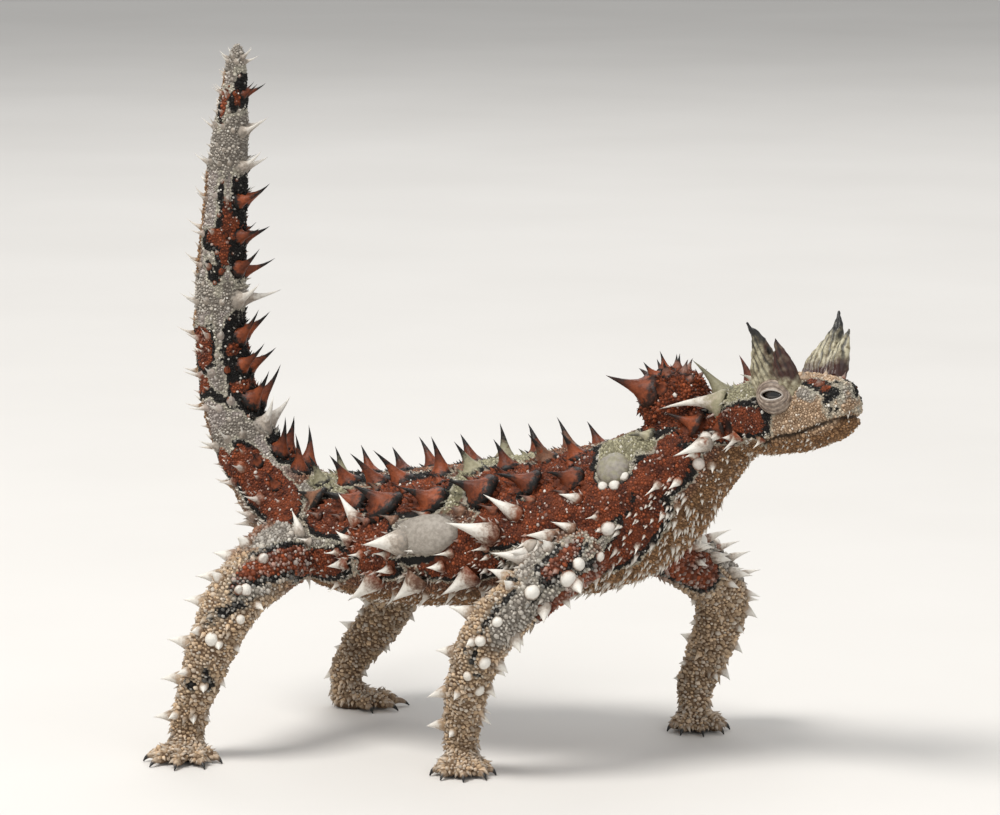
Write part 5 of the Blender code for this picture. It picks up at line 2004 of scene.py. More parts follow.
# Rows down a leg: share of its length from, to, count, degrees from its outer side towards its front,
# length, root radius
HIND_ROWS = (
    (0.26, 0.93, 6, -76.0, 4.2, 1.5),
    (0.30, 0.90, 5, -24.0, 2.2, 1.1),
    (0.34, 0.90, 5, 34.0, 2.2, 1.0),
    (0.46, 0.90, 4, 88.0, 1.8, 0.8),
    (0.50, 0.86, 3, -138.0, 1.7, 0.8),
)
FORE_ROWS = (
    (0.26, 0.92, 6, -72.0, 3.6, 1.4),
    (0.24, 0.90, 5, -8.0, 2.0, 1.0),
    (0.26, 0.84, 6, 84.0, 3.0, 1.2),
    (0.30, 0.84, 4, 112.0, 2.0, 0.8),
    (0.50, 0.85, 3, -134.0, 1.7, 0.8),
)
# Long spines in front of the lifted foreleg
LIFTED_ROWS = ((0.10, 0.60, 8, 52.0, 4.2, 0.9), (0.16, 0.56, 5, 84.0, 3.6, 0.85))
LEG_LEAN = 14.0
END_FADE = 0.22  # how much smaller the thorns are at a row's ends
FOOT_FADE = 0.3  # how much smaller they are at a leg's foot
# The knob's thorns: direction from its middle, length, root radius, how white and how black the tips turn
KNOB_THORNS = (
    ((-0.72, -0.52, 0.34), 6.4, 2.9, 0.0, 0.9),
    ((-0.72, 0.52, 0.34), 6.4, 2.9, 0.0, 0.9),
    ((-0.55, -0.30, 0.78), 3.0, 1.3, 0.0, 1.0),
    ((-0.55, 0.34, 0.76), 2.8, 1.3, 0.0, 1.0),
    ((-0.10, -0.42, 0.90), 2.4, 1.2, 0.1, 1.0),
    ((-0.12, 0.40, 0.90), 2.3, 1.2, 0.1, 1.0),
    ((0.35, -0.20, 0.91), 2.2, 1.1, 0.2, 0.8),
    ((0.30, 0.28, 0.91), 2.0, 1.1, 0.2, 0.8),
    ((-0.30, 0.02, 0.95), 2.8, 1.2, 0.0, 1.0),
    ((0.10, 0.02, 0.99), 2.3, 1.1, 0.1, 1.0),
    ((-0.15, -0.85, 0.50), 2.2, 1.2, 0.0, 0.8),
    ((-0.15, 0.85, 0.50), 2.2, 1.2, 0.0, 0.8),
    ((0.62, -0.34, 0.70), 1.8, 0.9, 0.2, 0.8),
    ((0.62, 0.34, 0.70), 1.8, 0.9, 0.2, 0.8),
)
# The head's, on both sides: the place and direction in the head's own axes, and the same four numbers
HEAD_THORNS = (
    ((-12.4, 5.8, 0.4), (-0.90, 0.43, 0.04), 9.4, 2.3, 0.9, 0.0),
    ((-13.6, 3.4, 2.5), (-0.52, 0.26, 0.82), 6.6, 2.2, 0.0, 0.4),
    ((-15.4, 7.6, -2.6), (-0.92, 0.16, 0.26), 5.6, 2.3, 0.0, 0.9),
    ((-6.4, 3.2, 3.0), (-0.80, 0.30, 0.52), 2.8, 1.2, 0.5, 0.3),
    ((-8.4, 6.6, -5.6), (-0.80, 0.30, -0.52), 3.2, 1.1, 1.6, 0.0),
    ((-4.0, 6.2, -6.8), (-0.60, 0.50, -0.62), 1.8, 0.8, 1.6, 0.0),
    ((-11.4, 6.2, -3.4), (-0.88, 0.42, -0.10), 3.0, 1.3, 0.0, 0.9),
    ((-3.2, 6.6, 2.4), (-0.50, 0.76, 0.42), 1.6, 0.9, 0.4, 0.2),
    ((6.2, 2.6, 1.4), (0.30, 0.42, 0.86), 1.2, 0.8, 0.3, 0.5),
    ((3.2, 2.2, 2.6), (0.10, 0.30, 0.95), 1.3, 0.9, 0.3, 0.5),
    ((-5.4, 1.2, 3.2), (-0.40, 0.10, 0.91), 1.7, 0.9, 0.2, 0.6),
)
# The small spines round a thorn's foot: how far chance turns one from its place as a share of their step,
# and how far it stands from the thorn's middle in its root radii
COLLAR_TURN = 0.3
COLLAR_AWAY = (0.8, 1.15)
COLLAR_LENGTH = (0.5, 0.3)  # its length, and how much more for each millimetre of the thorn's radius
COLLAR_VARIES = (0.6, 1.3)  # the least and the most that chance makes of that
COLLAR_LIE = (0.8, 0.7)  # how much it leans the thorn's way, and how much away from the thorn
COLLAR_RADIUS = 0.34  # its root radius, as a share of its length
COLLAR_LEAN = (25.0, 55.0)  # the least and the most that it leans, in degrees
COLLAR_TIPS = (0.5, 0.7)  # how white and how black its tip turns, as shares of the thorn's
COLLAR_SQUASH = 0.8  # its width, as a share of its width along its lie


class Kind(Enum):
    """The forms that a large thorn may have."""

    SPINE = 0
    TOOTH = 1
    BOSS = 2


@dataclass
class Thorns:
    """The large thorns, teeth and bosses, and the small spines round their feet.

    Fields:
        ground: The skin.
        rows: What has been set so far: root, direction out, lie, length, radius, lean, how white and how
            black the tip turns, width as a share of the length along the lie, and the number of its kind.
        collar_from: The least root radius that has small spines round it.
        collar_count: How many, for each millimetre of that radius.
        spread: How far apart from their places chance moves thorns, in millimetres and degrees.
        steepest: The most that a thorn of the head leans, in degrees.
    """

    ground: Ground
    rows: list[tuple] = field(default_factory=list)
    collar_from: float = 1.15
    collar_count: float = 5.0
    spread: tuple[float, float] = (0.5, 3.0)
    steepest: float = 72.0

    def __post_init__(self) -> None:
        """Starts the run of chance that makes each a little different from the next."""
        self.random = np.random.default_rng(THORN_SEED)

    def vary(self, value: float, share: float) -> float:
        """A size with the variation that real thorns show.

        Args:
            value: The size.
            share: How much it varies.

        Returns:
            The varied size.
        """
        return value * (1.0 + self.random.uniform(-share, share))

    def set(self, near: Vector, lie: Vector, sizes: tuple, tips: tuple, squash: float, kind: Kind) -> None:
        """Keeps a thorn that grows where the skin is nearest to a point.

        Args:
            near: The point.
            lie: The direction that it leans in.
            sizes: Its length, root radius and lean in degrees.
            tips: How white and how black its tip turns.
            squash: Its width across its lie, as a share of its width along it.
            kind: Its form.
        """
        root, outwards = self.ground.nearest(near)
        self.rows.append((*root, *outwards, *lie, *sizes, *tips, squash, kind.value))

    def on_line(
        self, line: Line, along: float, angle: float, sizes: tuple, towards: int, tips: tuple
    ) -> None:
        """A spine on a line's flesh, which leans along the line.

        Args:
            line: The line.
            along: The distance along the line.
            angle: The angle round the line, in degrees.
            sizes: Its length, root radius and lean in degrees.
            towards: 1 where it leans along the line, -1 where it leans back.
            tips: How white and how black its tip turns.
        """
        length, radius, lean = sizes
        along += self.random.uniform(-self.spread[0], self.spread[0])
        angle += self.random.uniform(-self.spread[1], self.spread[1])
        lie = line.frame(along)[1] * towards
        varied = (self.vary(length, 0.16), self.vary(radius, 0.1), self.vary(lean, 0.2))
        kind = Kind.SPINE if line is BODY else Kind.TOOTH
        self.set(line.point(along, angle), lie, varied, tips, SPINE_SQUASH, kind)

    def on_trunk(self) -> None:
        """The rows along the back and flanks."""
        low, high = BODY.knots[TAIL_BASE_END], BODY.knots[TORSO_END]
        for start, end, step, angle, length, radius, lean, *tips in TRUNK_ROWS:
            count = int((end - start) / step) + 1
            for i in range(count):
                along = BODY.where(0, start + step * i, low, high)
                fade = 1.0 - END_FADE * abs(2.0 * i / max(count - 1, 1) - 1.0) ** 2
                for side in Side:
                    sizes = (length * fade, radius * fade, lean)
                    self.on_line(BODY, along, side.value * angle, sizes, -1, tips)

    def on_neck(self) -> None:
        """The rows along the neck."""
        low, high = BODY.knots[TORSO_END], BODY.knots[len(BODY_LINE)]
        for start, end, step, angle, length, radius, lean, *tips in NECK_ROWS:
            for i in range(int((end - start) / step) + 1):
                along = low + (high - low) * (start + step * i)
                for side in Side:
                    self.on_line(BODY, along, side.value * angle, (length, radius, lean), -1, tips)

    def on_flanks(self) -> None:
        """The teeth and the bosses of the flanks, the shoulders and the neck."""
        for along, angle, tip_along, tip_angle, length, radius in FLANK_TEETH:
            for side in Side:
                root = BODY.point(along, side.value * angle)
                lie = BODY.point(tip_along, side.value * tip_angle) - root
                sizes = (self.vary(length, 0.08), self.vary(radius, 0.06), self.vary(TOOTH_LEAN, 0.1))
                self.set(root, lie, sizes, (TOOTH_BONE, 0.0), TOOTH_SQUASH, Kind.TOOTH)
        for along, angle, *shape in BOSSES:
            for side in Side:
                self.boss(BODY, along, side.value * angle, *shape)

    def boss(
        self, line: Line, along: float, angle: float, radius: float, height: float, squash: float, bone: float
    ) -> None:
        """A rounded boss on a line's flesh.

        Args:
            line: The line.
            along: The distance along the line.
            angle: The angle round the line, in degrees.
            radius: Its root radius.
            height: Its height.
            squash: Its width as a share of its length along the line.
            bone: How white it is.
        """
        sizes = (height, self.vary(radius, 0.06), 0.0)
        self.set(line.point(along, angle), line.frame(along)[1], sizes, (bone, 0.0), squash, Kind.BOSS)

    def on_tail(self) -> None:
        """The whorls round the tail."""
        along = WHORL_STEP * 0.5
        while along < BODY.knots[TAIL_BASE_END] - TAIL_CLEARANCE:
            half_width = BODY.frame(along)[4][0]
            for angle, length, radius, *tips in WHORL:
                sizes = (
                    min(half_width * length, WHORL_LARGEST[0] * length) + WHORL_EXTRA,
                    min(max(half_width * radius, LEAST_RADIUS), WHORL_LARGEST[1]),
                    WHORL_LEAN,
                )
                for side in Side:
                    self.on_line(BODY, along, side.value * angle, sizes, -1, tips)
            for angle, length, radius in SMALL_WHORL:
                for side in Side:
                    sizes = (length, radius, WHORL_LEAN)
                    self.on_line(BODY, along + WHORL_STEP * 0.5, side.value * angle, sizes, -1, (0.7, 0.0))
            along += WHORL_STEP

    def on_leg(self, leg: Leg) -> None:
        """The rows down a leg, and its bosses.

        Args:
            leg: The leg.
        """
        hind = leg.name.startswith("hind")
        rows = HIND_ROWS if hind else FORE_ROWS
        if leg.name == "fore_left":
            rows += LIFTED_ROWS
        for start, end, count, angle, length, radius in rows:
            for i in range(count):
                along = leg.line.length * (start + (end - start) * i / (count - 1))
                fade = 1.0 - FOOT_FADE * i / (count - 1)
                sizes = (length * fade, radius * fade, LEG_LEAN)
                self.on_line(leg.line, along, angle, sizes, 1, (1.0, 0.0))
        for along, angle, *shape in HIND_BOSSES if hind else FORE_BOSSES:
            self.boss(leg.line, along, angle, *shape)

    def on_head(self) -> None:
        """The thorns of the head and of the knob on the nape."""
        for place, direction, length, radius, *tips in HEAD_THORNS:
            for side in Side:
                near = on_head(place[0], place[1] * side.value, place[2])
                towards = head_turn(direction[0], direction[1] * side.value, direction[2])
                self.pointing(near, towards, length, radius, tips)
        for direction, length, radius, *tips in KNOB_THORNS:
            towards = Vector(direction).normalized()
            self.pointing(KNOB_AT + towards * KNOB_RADII[0], towards, length, radius, tips)

    def pointing(self, near: Vector, direction: Vector, length: float, radius: float, tips: list) -> None:
        """A spine whose tip is in a given direction from its root.

        Args:
            near: A point near its root.
            direction: The direction of its tip.
            length: Its length.
            radius: Its root radius.
            tips: How white and how black its tip turns.
        """
        outwards = self.ground.nearest(near)[1]
        towards = direction.normalized()
        lean = math.degrees(math.acos(max(-1.0, min(1.0, towards.dot(outwards)))))
        sizes = (self.vary(length, 0.06), radius, min(lean, self.steepest))
        self.set(near, towards, sizes, tips, SPINE_SQUASH, Kind.SPINE)

    def collars(self) -> Crop:
        """The small spines that stand round the foot of each large thorn.

        Returns:
            The spines, ready to plant.
        """
        found = []
        for row in self.rows:
            root, outwards, lie = Vector(row[0:3]), Vector(row[3:6]), Vector(row[6:9])
            radius, bone, burn, squash, kind = row[10], *row[12:16]
            if radius < self.collar_from or kind == Kind.BOSS.value:
                continue
            lie = (lie - outwards * lie.dot(outwards)).normalized()
            across = outwards.cross(lie)
            count = round(radius * self.collar_count)
            for k in range(count):
                turn = 2.0 * math.pi * (k + self.random.uniform(-COLLAR_TURN, COLLAR_TURN)) / count
                beside = lie * math.cos(turn) + across * (math.sin(turn) * squash)
                away = radius * self.random.uniform(*COLLAR_AWAY)
                place, facing = self.ground.nearest(root + beside * away)
                length = COLLAR_LENGTH[0] + COLLAR_LENGTH[1] * radius
                length *= self.random.uniform(*COLLAR_VARIES)
                leaning = lie * COLLAR_LIE[0] + beside * COLLAR_LIE[1]
                found.append(
                    (*place, *facing, *leaning, length, length * COLLAR_RADIUS,
                     self.random.uniform(*COLLAR_LEAN), min(bone, 1.0) * COLLAR_TIPS[0],
                     burn * COLLAR_TIPS[1], COLLAR_SQUASH)
                )
        table = np.array(found)
        columns = (table[:, i] for i in range(9, 15))
        return Crop(table[:, 0:3], table[:, 3:6], table[:, 6:9], *columns)

    def build(self, finish: bpy.types.Material) -> list[bpy.types.Object]:
        """Plants them all.

        Args:
            finish: The material of them all.

        Returns:
            One piece for each kind, and one for the small spines round their feet.
        """
        self.on_head()
        self.on_trunk()
        self.on_neck()
        self.on_flanks()
        self.on_tail()
        for leg in LEGS:
            self.on_leg(leg)
        table = np.array(self.rows, float)
        marks = MARKINGS.values(CHART.places(table[:, :3]), table[:, :3])
        dark = (marks["rust"] > 0.0) | (marks["soot"] > 0.0)
        as_ground = table[:, 12] < 0.0
        table[as_ground, 12] = np.where(dark, 0.0, 0.8)[as_ground]
        table[as_ground, 13] = np.where(dark, 1.0, 0.0)[as_ground]
        forms = {Kind.SPINE: HOLLOW_FORM, Kind.TOOTH: FULL_FORM, Kind.BOSS: DOME_FORM}
        made = []
        for kind, form in forms.items():
            chosen = table[table[:, 15] == kind.value]
            columns = (chosen[:, i] for i in range(9, 15))
            crop = Crop(chosen[:, 0:3], chosen[:, 3:6], chosen[:, 6:9], *columns, sooty=False)
            made.append(settle(crop.plant(f"{kind.name.lower()}_thorns", form, finish), Slot.BACK))
        made.append(settle(self.collars().plant("collar_spines", SPIKELET_FORM, finish), Slot.BACK))
        return made


SOLE_CLEARANCE = 0.9  # no granule grows lower than this
CHEST = (112.0, 143.0, 98.0)  # from and to along the body line, and from what angle
BACK_TO = 66.0  # how far down the flank the dark tips reach, in degrees
UNDER_EARLY = 12.0  # how many degrees above the belly's colour its spikelets begin
FACE_FROM = 158.0  # where the fewest spikelets are, along the body line
# The share of spikelets on the knob, chest, toes, legs, belly and face, and elsewhere
SPIKY_SHARES = [0.45, 0.13, 0.5, 0.1, 0.07, 0.02]
SPIKY_ELSEWHERE = 0.03
# A form's length and its root radius, as shares of its place's radius: of a spikelet on the chest, of one
# elsewhere, of a granule on the body and of one on a leg
TALL = (5.2, 3.4, 0.9, 1.2)
WIDE = (1.7, 1.4, 1.2, 1.32)
LEANS = (42.0, 30.0, 40.0)  # how far a spikelet, a body's and a leg's granule lean, in degrees


@dataclass
class Granules:
    """The close-set granules and spikelets between the thorns.

    Fields:
        ground: The skin.
        tries: How many places are tried for each square millimetre.
        most: How many forms one piece holds at most.
        trunk, tail, head, under, limb, knob: A granule's radius in each place.
        closeness: How near two of them may stand, as a share of their radii.
        lid_clearance: How far they keep from the middle of an eye.
        toes_below: The height under which a foot's pointed scales begin.
        cell: The size of the boxes in which near places are looked for, in millimetres.
    """

    ground: Ground
    tries: float = 36.0
    most: int = 9500
    trunk: float = 0.23
    tail: float = 0.22
    head: float = 0.20
    under: float = 0.24
    limb: float = 0.31
    knob: float = 0.25
    closeness: tuple[float, float] = (0.8, 0.85)
    lid_clearance: float = 3.1
    toes_below: float = 4.2
    cell: float = 0.62

    def spots(self, rng: np.random.Generator) -> tuple[np.ndarray, np.ndarray, Places]:
        """Places all over the skin, in no order, the direction that it faces there, and where they are.

        Args:
            rng: The run of chance.

        Returns:
            The places, their directions and where they lie.
        """
        quads = np.array([face for face in self.ground.polygons if len(face) == 4])
        a, b, c, d = (self.ground.points[quads[:, i]] for i in range(4))
        halves = (np.cross(b - a, c - a), np.cross(c - a, d - a))
        area = sum(np.linalg.norm(half, axis=1) for half in halves) / 2
        count = int(area.sum() * self.tries)
        pick = rng.choice(len(quads), count, p=area / area.sum())
        u, v = rng.random((2, count, 1))
        place = (a[pick] * (1 - u) + b[pick] * u) * (1 - v) + (d[pick] * (1 - u) + c[pick] * u) * v
        facing = unit(self.ground.normals[quads[pick]].mean(axis=1))
        free = (place[:, 2] > SOLE_CLEARANCE) & (FACE.hollow(place) < 0.4)
        for side in Side:
            eye = np.array(on_head(0.0, EYE_LEFT * side.value, 0.0))
            free &= np.linalg.norm(place - eye, axis=1) > self.lid_clearance
        return place[free], facing[free], self.ground.places[quads[pick][free, 0]]

    def radius_at(self, places: Places, points: np.ndarray, rng: np.random.Generator) -> np.ndarray:
        """How large a granule is at each place.

        Args:
            places: Where the points lie.
            points: The points, in the plan's millimetres, one a row.
            rng: The run of chance.

        Returns:
            The radii.
        """
        body = places.line == 0
        radius = np.where(body, self.trunk, self.limb)
        radius = np.where(body & (places.along < BODY.knots[TAIL_BASE_END]), self.tail, radius)
        radius = np.where(body & (places.along > BODY.knots[TORSO_END + 1]), self.head, radius)
        radius = np.where(body & (np.abs(places.angle) > MARKINGS.under_from), self.under, radius)
        radius = np.where(on_knob(points), self.knob, radius)
        return radius * (0.7 + 0.9 * rng.random(len(points)) ** 2)

    def spread_out(self, points: np.ndarray, radii: np.ndarray, taken: list[tuple]) -> np.ndarray:
        """The places that are kept, so that none is nearer to another than their sizes allow.

        Args:
            points: The places that are tried.
            radii: How large each one's granule is.
            taken: The thorns' roots and radii.

        Returns:
            The numbers of the places that are kept.
        """
        cell = self.cell
        grid: dict[tuple, list[tuple]] = {}
        for x, y, z, radius in taken:
            reach = int((radius + self.limb) / cell) + 1
            home = (int(x // cell), int(y // cell), int(z // cell))
            steps = range(-reach, reach + 1)
            for key in ((home[0] + i, home[1] + j, home[2] + k) for i in steps for j in steps for k in steps):
                grid.setdefault(key, []).append((x, y, z, radius))
        kept = []
        own, other = self.closeness
        near_steps = [(i, j, k) for i in (-1, 0, 1) for j in (-1, 0, 1) for k in (-1, 0, 1)]
        homes = np.floor(points / cell).astype(int).tolist()
        for number, ((x, y, z), radius, home) in enumerate(zip(points.tolist(), radii.tolist(), homes)):
            near = grid.get(tuple(home), ())
            apart = radius * own
            if any(
                (x - p) ** 2 + (y - q) ** 2 + (z - r) ** 2 < (apart + s * other) ** 2 for p, q, r, s in near
            ):
                continue
            kept.append(number)
            for i, j, k in near_steps:
                grid.setdefault((home[0] + i, home[1] + j, home[2] + k), []).append((x, y, z, radius))
        return np.array(kept)

    @staticmethod
    def regions(places: Places) -> dict[str, np.ndarray]:
        """The stretches of the body that are pieces of their own.

        Args:
            places: Where the points lie.

        Returns:
            For each name, whether each point is in it.
        """
        body = places.line == 0
        tail, trunk = BODY.knots[TAIL_BASE_END], BODY.knots[TORSO_END]
        return {
            "tail": body & (places.along < tail),
            "trunk": body & (places.along >= tail) & (places.along < trunk),
            "neck_and_head": body & (places.along >= trunk),
            "hind_legs": (places.line == 1) | (places.line == 2),
            "fore_legs": (places.line == 3) | (places.line == 4),
        }

    def build(self, finish: bpy.types.Material, taken: list[tuple]) -> list[bpy.types.Object]:
        """Plants them region by region.

        Args:
            finish: Their material.
            taken: The thorns' roots and radii.

        Returns:
            The pieces.
        """
        rng = np.random.default_rng(COAT_SEED)
        points, facing, rough = self.spots(rng)
        radii = self.radius_at(rough, points, rng)
        kept = self.spread_out(points, radii, taken)
        points, facing, radii = points[kept], facing[kept], radii[kept]
        places = CHART.places(points)
        lies = lie_of(places)
        body, knob = places.line == 0, on_knob(points)
        start, end, low = CHEST
        chest = body & (places.along > start) & (places.along < end) & (np.abs(places.angle) > low)
        upper = (body & (np.abs(places.angle) < BACK_TO)) | knob
        under = body & (np.abs(places.angle) > MARKINGS.under_from - UNDER_EARLY)
        toes = ~body & (points[:, 2] < self.toes_below)
        where = [knob, chest, toes, ~body, under, body & (places.along > FACE_FROM)]
        share = np.select(where, SPIKY_SHARES, SPIKY_ELSEWHERE)
        spiky = rng.random(len(points)) < share
        whites = np.where(body, rng.random(len(points)) ** 24, 0.55 * rng.random(len(points)) ** 3)
        bones = np.where(spiky, np.select([upper, under | chest, toes], [0.0, 0.9, 0.35], 0.3), whites)
        burns = np.where(spiky & upper, 0.8, 0.0)
        tall = np.where(spiky, np.where(chest, *TALL[:2]), np.where(body, *TALL[2:]))
        lengths = radii * tall * rng.uniform(0.7, 1.1, len(points))
        leans = np.where(spiky, LEANS[0], np.where(body, *LEANS[1:]))
        wide = np.where(spiky, np.where(chest, *WIDE[:2]), np.where(body, *WIDE[2:]))
        kinds = (("granules", GRANULE_FORM, ~spiky), ("spikelets", SPIKELET_FORM, spiky))
        made = []
        for name, region in self.regions(places).items():
            for kind, form, wanted in kinds:
                pick = np.flatnonzero(region & wanted)
                pick = pick[np.argsort(places.along[pick])]
                for number, part in enumerate(np.array_split(pick, math.ceil(len(pick) / self.most)), 1):
                    crop = Crop(
                        points[part], facing[part], lies[part], lengths[part], radii[part] * wide[part],
                        leans[part], bones[part], burns[part], np.ones(len(part)),
                    )
                    made.append(settle(crop.plant(f"{kind}_{name}_{number}", form, finish), Slot.BACK))
        return made


def on_knob(points: np.ndarray) -> np.ndarray:
    """Whether points are on the knob on the nape.

    Args:
        points: The points, in the plan's millimetres, one a row.

    Returns:
        Whether each one is.
    """
    shares = np.linalg.norm((points - np.array(KNOB_AT)) / np.array(KNOB_RADII), axis=1)
    return shares < MARKINGS.knob_edge


@dataclass
class Eye:
    """An eyeball deep between ringed lids, with an almond opening.

    Fields:
        side: The side of the head.
        ball_radius: The eyeball's radius.
        lid_radius: The radius of the lids' dome.
        slit: Half the length and half the height of the opening.
        sides: How many sides the lids' rings have.
    """

    side: Side
    ball_radius: float = 2.2
    lid_radius: float = 3.05
    slit: tuple[float, float] = (1.65, 0.62)
    sides: int = 48

    def axes(self) -> tuple[Vector, Vector, Vector, Vector]:
        """The eye's middle, and its directions outwards, ahead and upwards.

        Returns:
            The middle and the three directions.
        """
        outwards = head_turn(EYE_AHEAD, self.side.value, EYE_UP).normalized()
        ahead = head_turn(1.0, 0.0, CORNER_RISE)
        ahead = (ahead - outwards * ahead.dot(outwards)).normalized()
        upper = outwards.cross(ahead) * self.side.value
        if upper.z <= 0:
            upper = -upper
        return on_head(0.0, EYE_LEFT * self.side.value, 0.0), outwards, ahead, upper

    def ring(self, share: float) -> list[tuple[float, float]]:
        """A loop of the lids: round at share 0, and the almond opening at share 1.

        Args:
            share: How far round shape has turned into almond, from 0 to 1.

        Returns:
            Its points, ahead and up from the middle.
        """
        rim = []
        for k in range(self.sides):
            turn = 2 * math.pi * k / self.sides
            almond = (
                self.slit[0] * math.cos(turn),
                self.slit[1] * math.sin(turn) * abs(math.sin(turn)) ** 0.3,
            )
            round_one = (self.lid_radius * 1.08 * math.cos(turn), self.lid_radius * 1.08 * math.sin(turn))
            ease = share**1.4
            rim.append(tuple(r * (1 - ease) + a * ease for r, a in zip(round_one, almond)))
        return rim

    def lids(self) -> bpy.types.Object:
        """Both lids as one closed ring, with a fold for each ring of scales.

        Returns:
            The piece.
        """
        eye, outwards, ahead, upper = self.axes()
        shares = np.linspace(0.0, 1.0, 22)
        bm = bmesh.new()
        tip, groove = bm.verts.layers.float.new("tip"), bm.verts.layers.float.new("groove")
        ring = bmesh.ops.create_circle(bm, segments=self.sides, radius=1.0)["verts"]
        edges = edges_of(ring)
        first = edges
        rows = [(float(share), None) for share in shares] + [(1.0, 1.55), (0.55, 1.0), (0.0, -0.4)]
        for number, (share, depth) in enumerate(rows):
            if number:
                made = bmesh.ops.extrude_edge_only(bm, edges=edges)["geom"]
                ring = [item for item in made if isinstance(item, bmesh.types.BMVert)]
                edges = [item for item in made if isinstance(item, bmesh.types.BMEdge)]
            self.lay(ring, share, depth, (eye, outwards, ahead, upper), (tip, groove))
        bmesh.ops.bridge_loops(bm, edges=first + edges)
        lids = finished(f"eyelid_{self.side.name.lower()}", bm)
        lids.data.materials.append(Lid().material())
        return settle(lids, Slot.EYE)

    def lay(self, ring: list, share: float, depth: float | None, axes: tuple, layers: tuple) -> None:
        """Puts the vertices of one loop in their places, in the order of their angle.

        Args:
            ring: The vertices.
            share: How far round shape has turned into almond, from 0 to 1.
            depth: How far out the loop is, or nothing where it lies on the dome.
            axes: The eye's middle and directions.
            layers: Where the ring's share and the painted shade of its groove are kept.
        """
        eye, outwards, ahead, upper = axes
        rim = self.ring(share)
        wave = math.cos(share * 5.2 * 2 * math.pi)
        turns = sorted(range(len(ring)), key=lambda i: ring[i].index)
        for k, i in enumerate(turns):
            x, y = rim[k]
            out = math.hypot(x, y)
            dome = math.sqrt(max(self.lid_radius**2 - out**2, 0.0)) * 0.94 + 0.05
            height = depth if depth is not None else dome + 0.10 * wave * (1.0 if share < 0.95 else 0.0)
            ring[i].co = eye + outwards * height + ahead * x + upper * y
            ring[i][layers[0]] = share if depth is None else 0.9
            # How much painted shade the groove of each fold takes.
            ring[i][layers[1]] = max(0.0, -wave) * 0.8 if depth is None and share < 0.86 else 0.0

    def eyeball(self) -> bpy.types.Object:
        """The eyeball, flattened a little.

        Returns:
            The piece.
        """
        eye, outwards, _, _ = self.axes()
        bm = bmesh.new()
        ball(bm, eye - outwards * 0.05, (self.ball_radius,) * 3, None, 4)
        made = finished(f"eyeball_{self.side.name.lower()}", bm)
        made.data.materials.append(WetEye().material())
        return settle(made, Slot.EYE, f"eye_{self.side.name.lower()}")

    def build(self) -> list[bpy.types.Object]:
        """The eyeball and its lids.

        Returns:
            The two pieces.
        """
        return [self.eyeball(), self.lids()]


# The horns: forward, left, up, half length, half thickness twice; a tall rear lobe and a low front one
HORN_REAR = (
    (-1.4, 4.3, 0.6, 3.0, 2.4, 2.4),
    (-0.9, 5.5, 3.2, 2.8, 2.0, 2.0),
    (0.0, 6.9, 5.7, 1.9, 1.4, 1.4),
    (0.6, 8.0, 7.9, 1.05, 0.85, 0.85),
    (0.6, 8.9, 9.7, 0.42, 0.36, 0.36),
    (0.2, 9.5, 10.9, 0.1, 0.1, 0.1),
)
HORN_FRONT = (
    (1.4, 4.2, 0.4, 2.2, 1.9, 1.9),
    (2.2, 5.3, 3.0, 2.0, 1.6, 1.6),
    (3.0, 6.3, 5.2, 1.3, 1.0, 1.0),
    (3.5, 7.1, 7.0, 0.5, 0.4, 0.4),
    (3.6, 7.6, 8.2, 0.1, 0.1, 0.1),
)
HORN_COLOURS = ((0.14, 0.11, 0.06), (0.46, 0.42, 0.29))
CLAW_COLOURS = ((0.20, 0.13, 0.08), (0.42, 0.32, 0.22))


@dataclass
class Horn:
    """A two-lobed horn over an eye, fluted from root to tip.

    Fields:
        side: The side of the head.
        voxel: The size of its faces, in millimetres.
        top: How far above the eye its tip is, in millimetres.
        flutes: How close its flutes are, in radians for each millimetre.
        flute_depth: How deep they are, in millimetres.
    """

    side: Side
    voxel: float = 0.15
    top: float = 10.9
    flutes: float = 7.0
    flute_depth: float = 0.12

    def build(self) -> bpy.types.Object:
        """Makes the horn.

        Returns:
            The piece.
        """
        bm = bmesh.new()
        for stations in (HORN_REAR, HORN_FRONT):
            rows = tuple((*on_head(x, y * self.side.value, z), *sizes) for x, y, z, *sizes in stations)
            lobe = Line(rows, tuple(head_axes()[0]))
            loft(bm, lobe, 0.0, lobe.length, 0.5, 24, 0.0)
        name = self.side.name.lower()
        horn = finished(f"horn_{name}_blade", bm)
        remesh(horn, self.voxel, 2)
        points = plan_points(horn.data)
        ahead, _, above = Face.own(points).T
        wave = np.sin(ahead * self.flutes + above * 0.6 + noise_at(points, 0.5, 2) * 2.0)
        points += normals_of(horn.data) * (wave * self.flute_depth + noise_at(points, 0.9, 2) * 0.12)[:, None]
        write_points(horn.data, points)
        write_values(horn.data, "tip", np.clip(above / self.top, 0.0, 1.0))
        # Painted shade in the grooves of the flutes, broken up by noise.
        groove_shade = np.clip(-wave * 1.6 - 0.5 + noise_at(points, 0.7, 2, 4.0), 0.0, 1.0)
        write_values(horn.data, "flute", groove_shade * np.clip((above - 1.0) / 4.0, 0.0, 1.0))
        front = np.clip((ahead - 0.9) / 1.2, 0.0, 1.0) * np.clip((above - 1.2) / 1.5, 0.0, 1.0)
        foot = np.clip((4.6 - above) / 1.6, 0.0, 1.0) if self.side is Side.LEFT else front
        rust = np.clip(foot + noise_at(points, 0.8, 2, 7.0) * 0.5, 0.0, 1.0) * (foot > 0)
        write_values(horn.data, "rust", rust)
        horn.data.shade_smooth()
        horn.data.materials.append(Bone("horn_finish", *HORN_COLOURS).material())
        return settle(horn, Slot.HORN, f"horn_{name}")


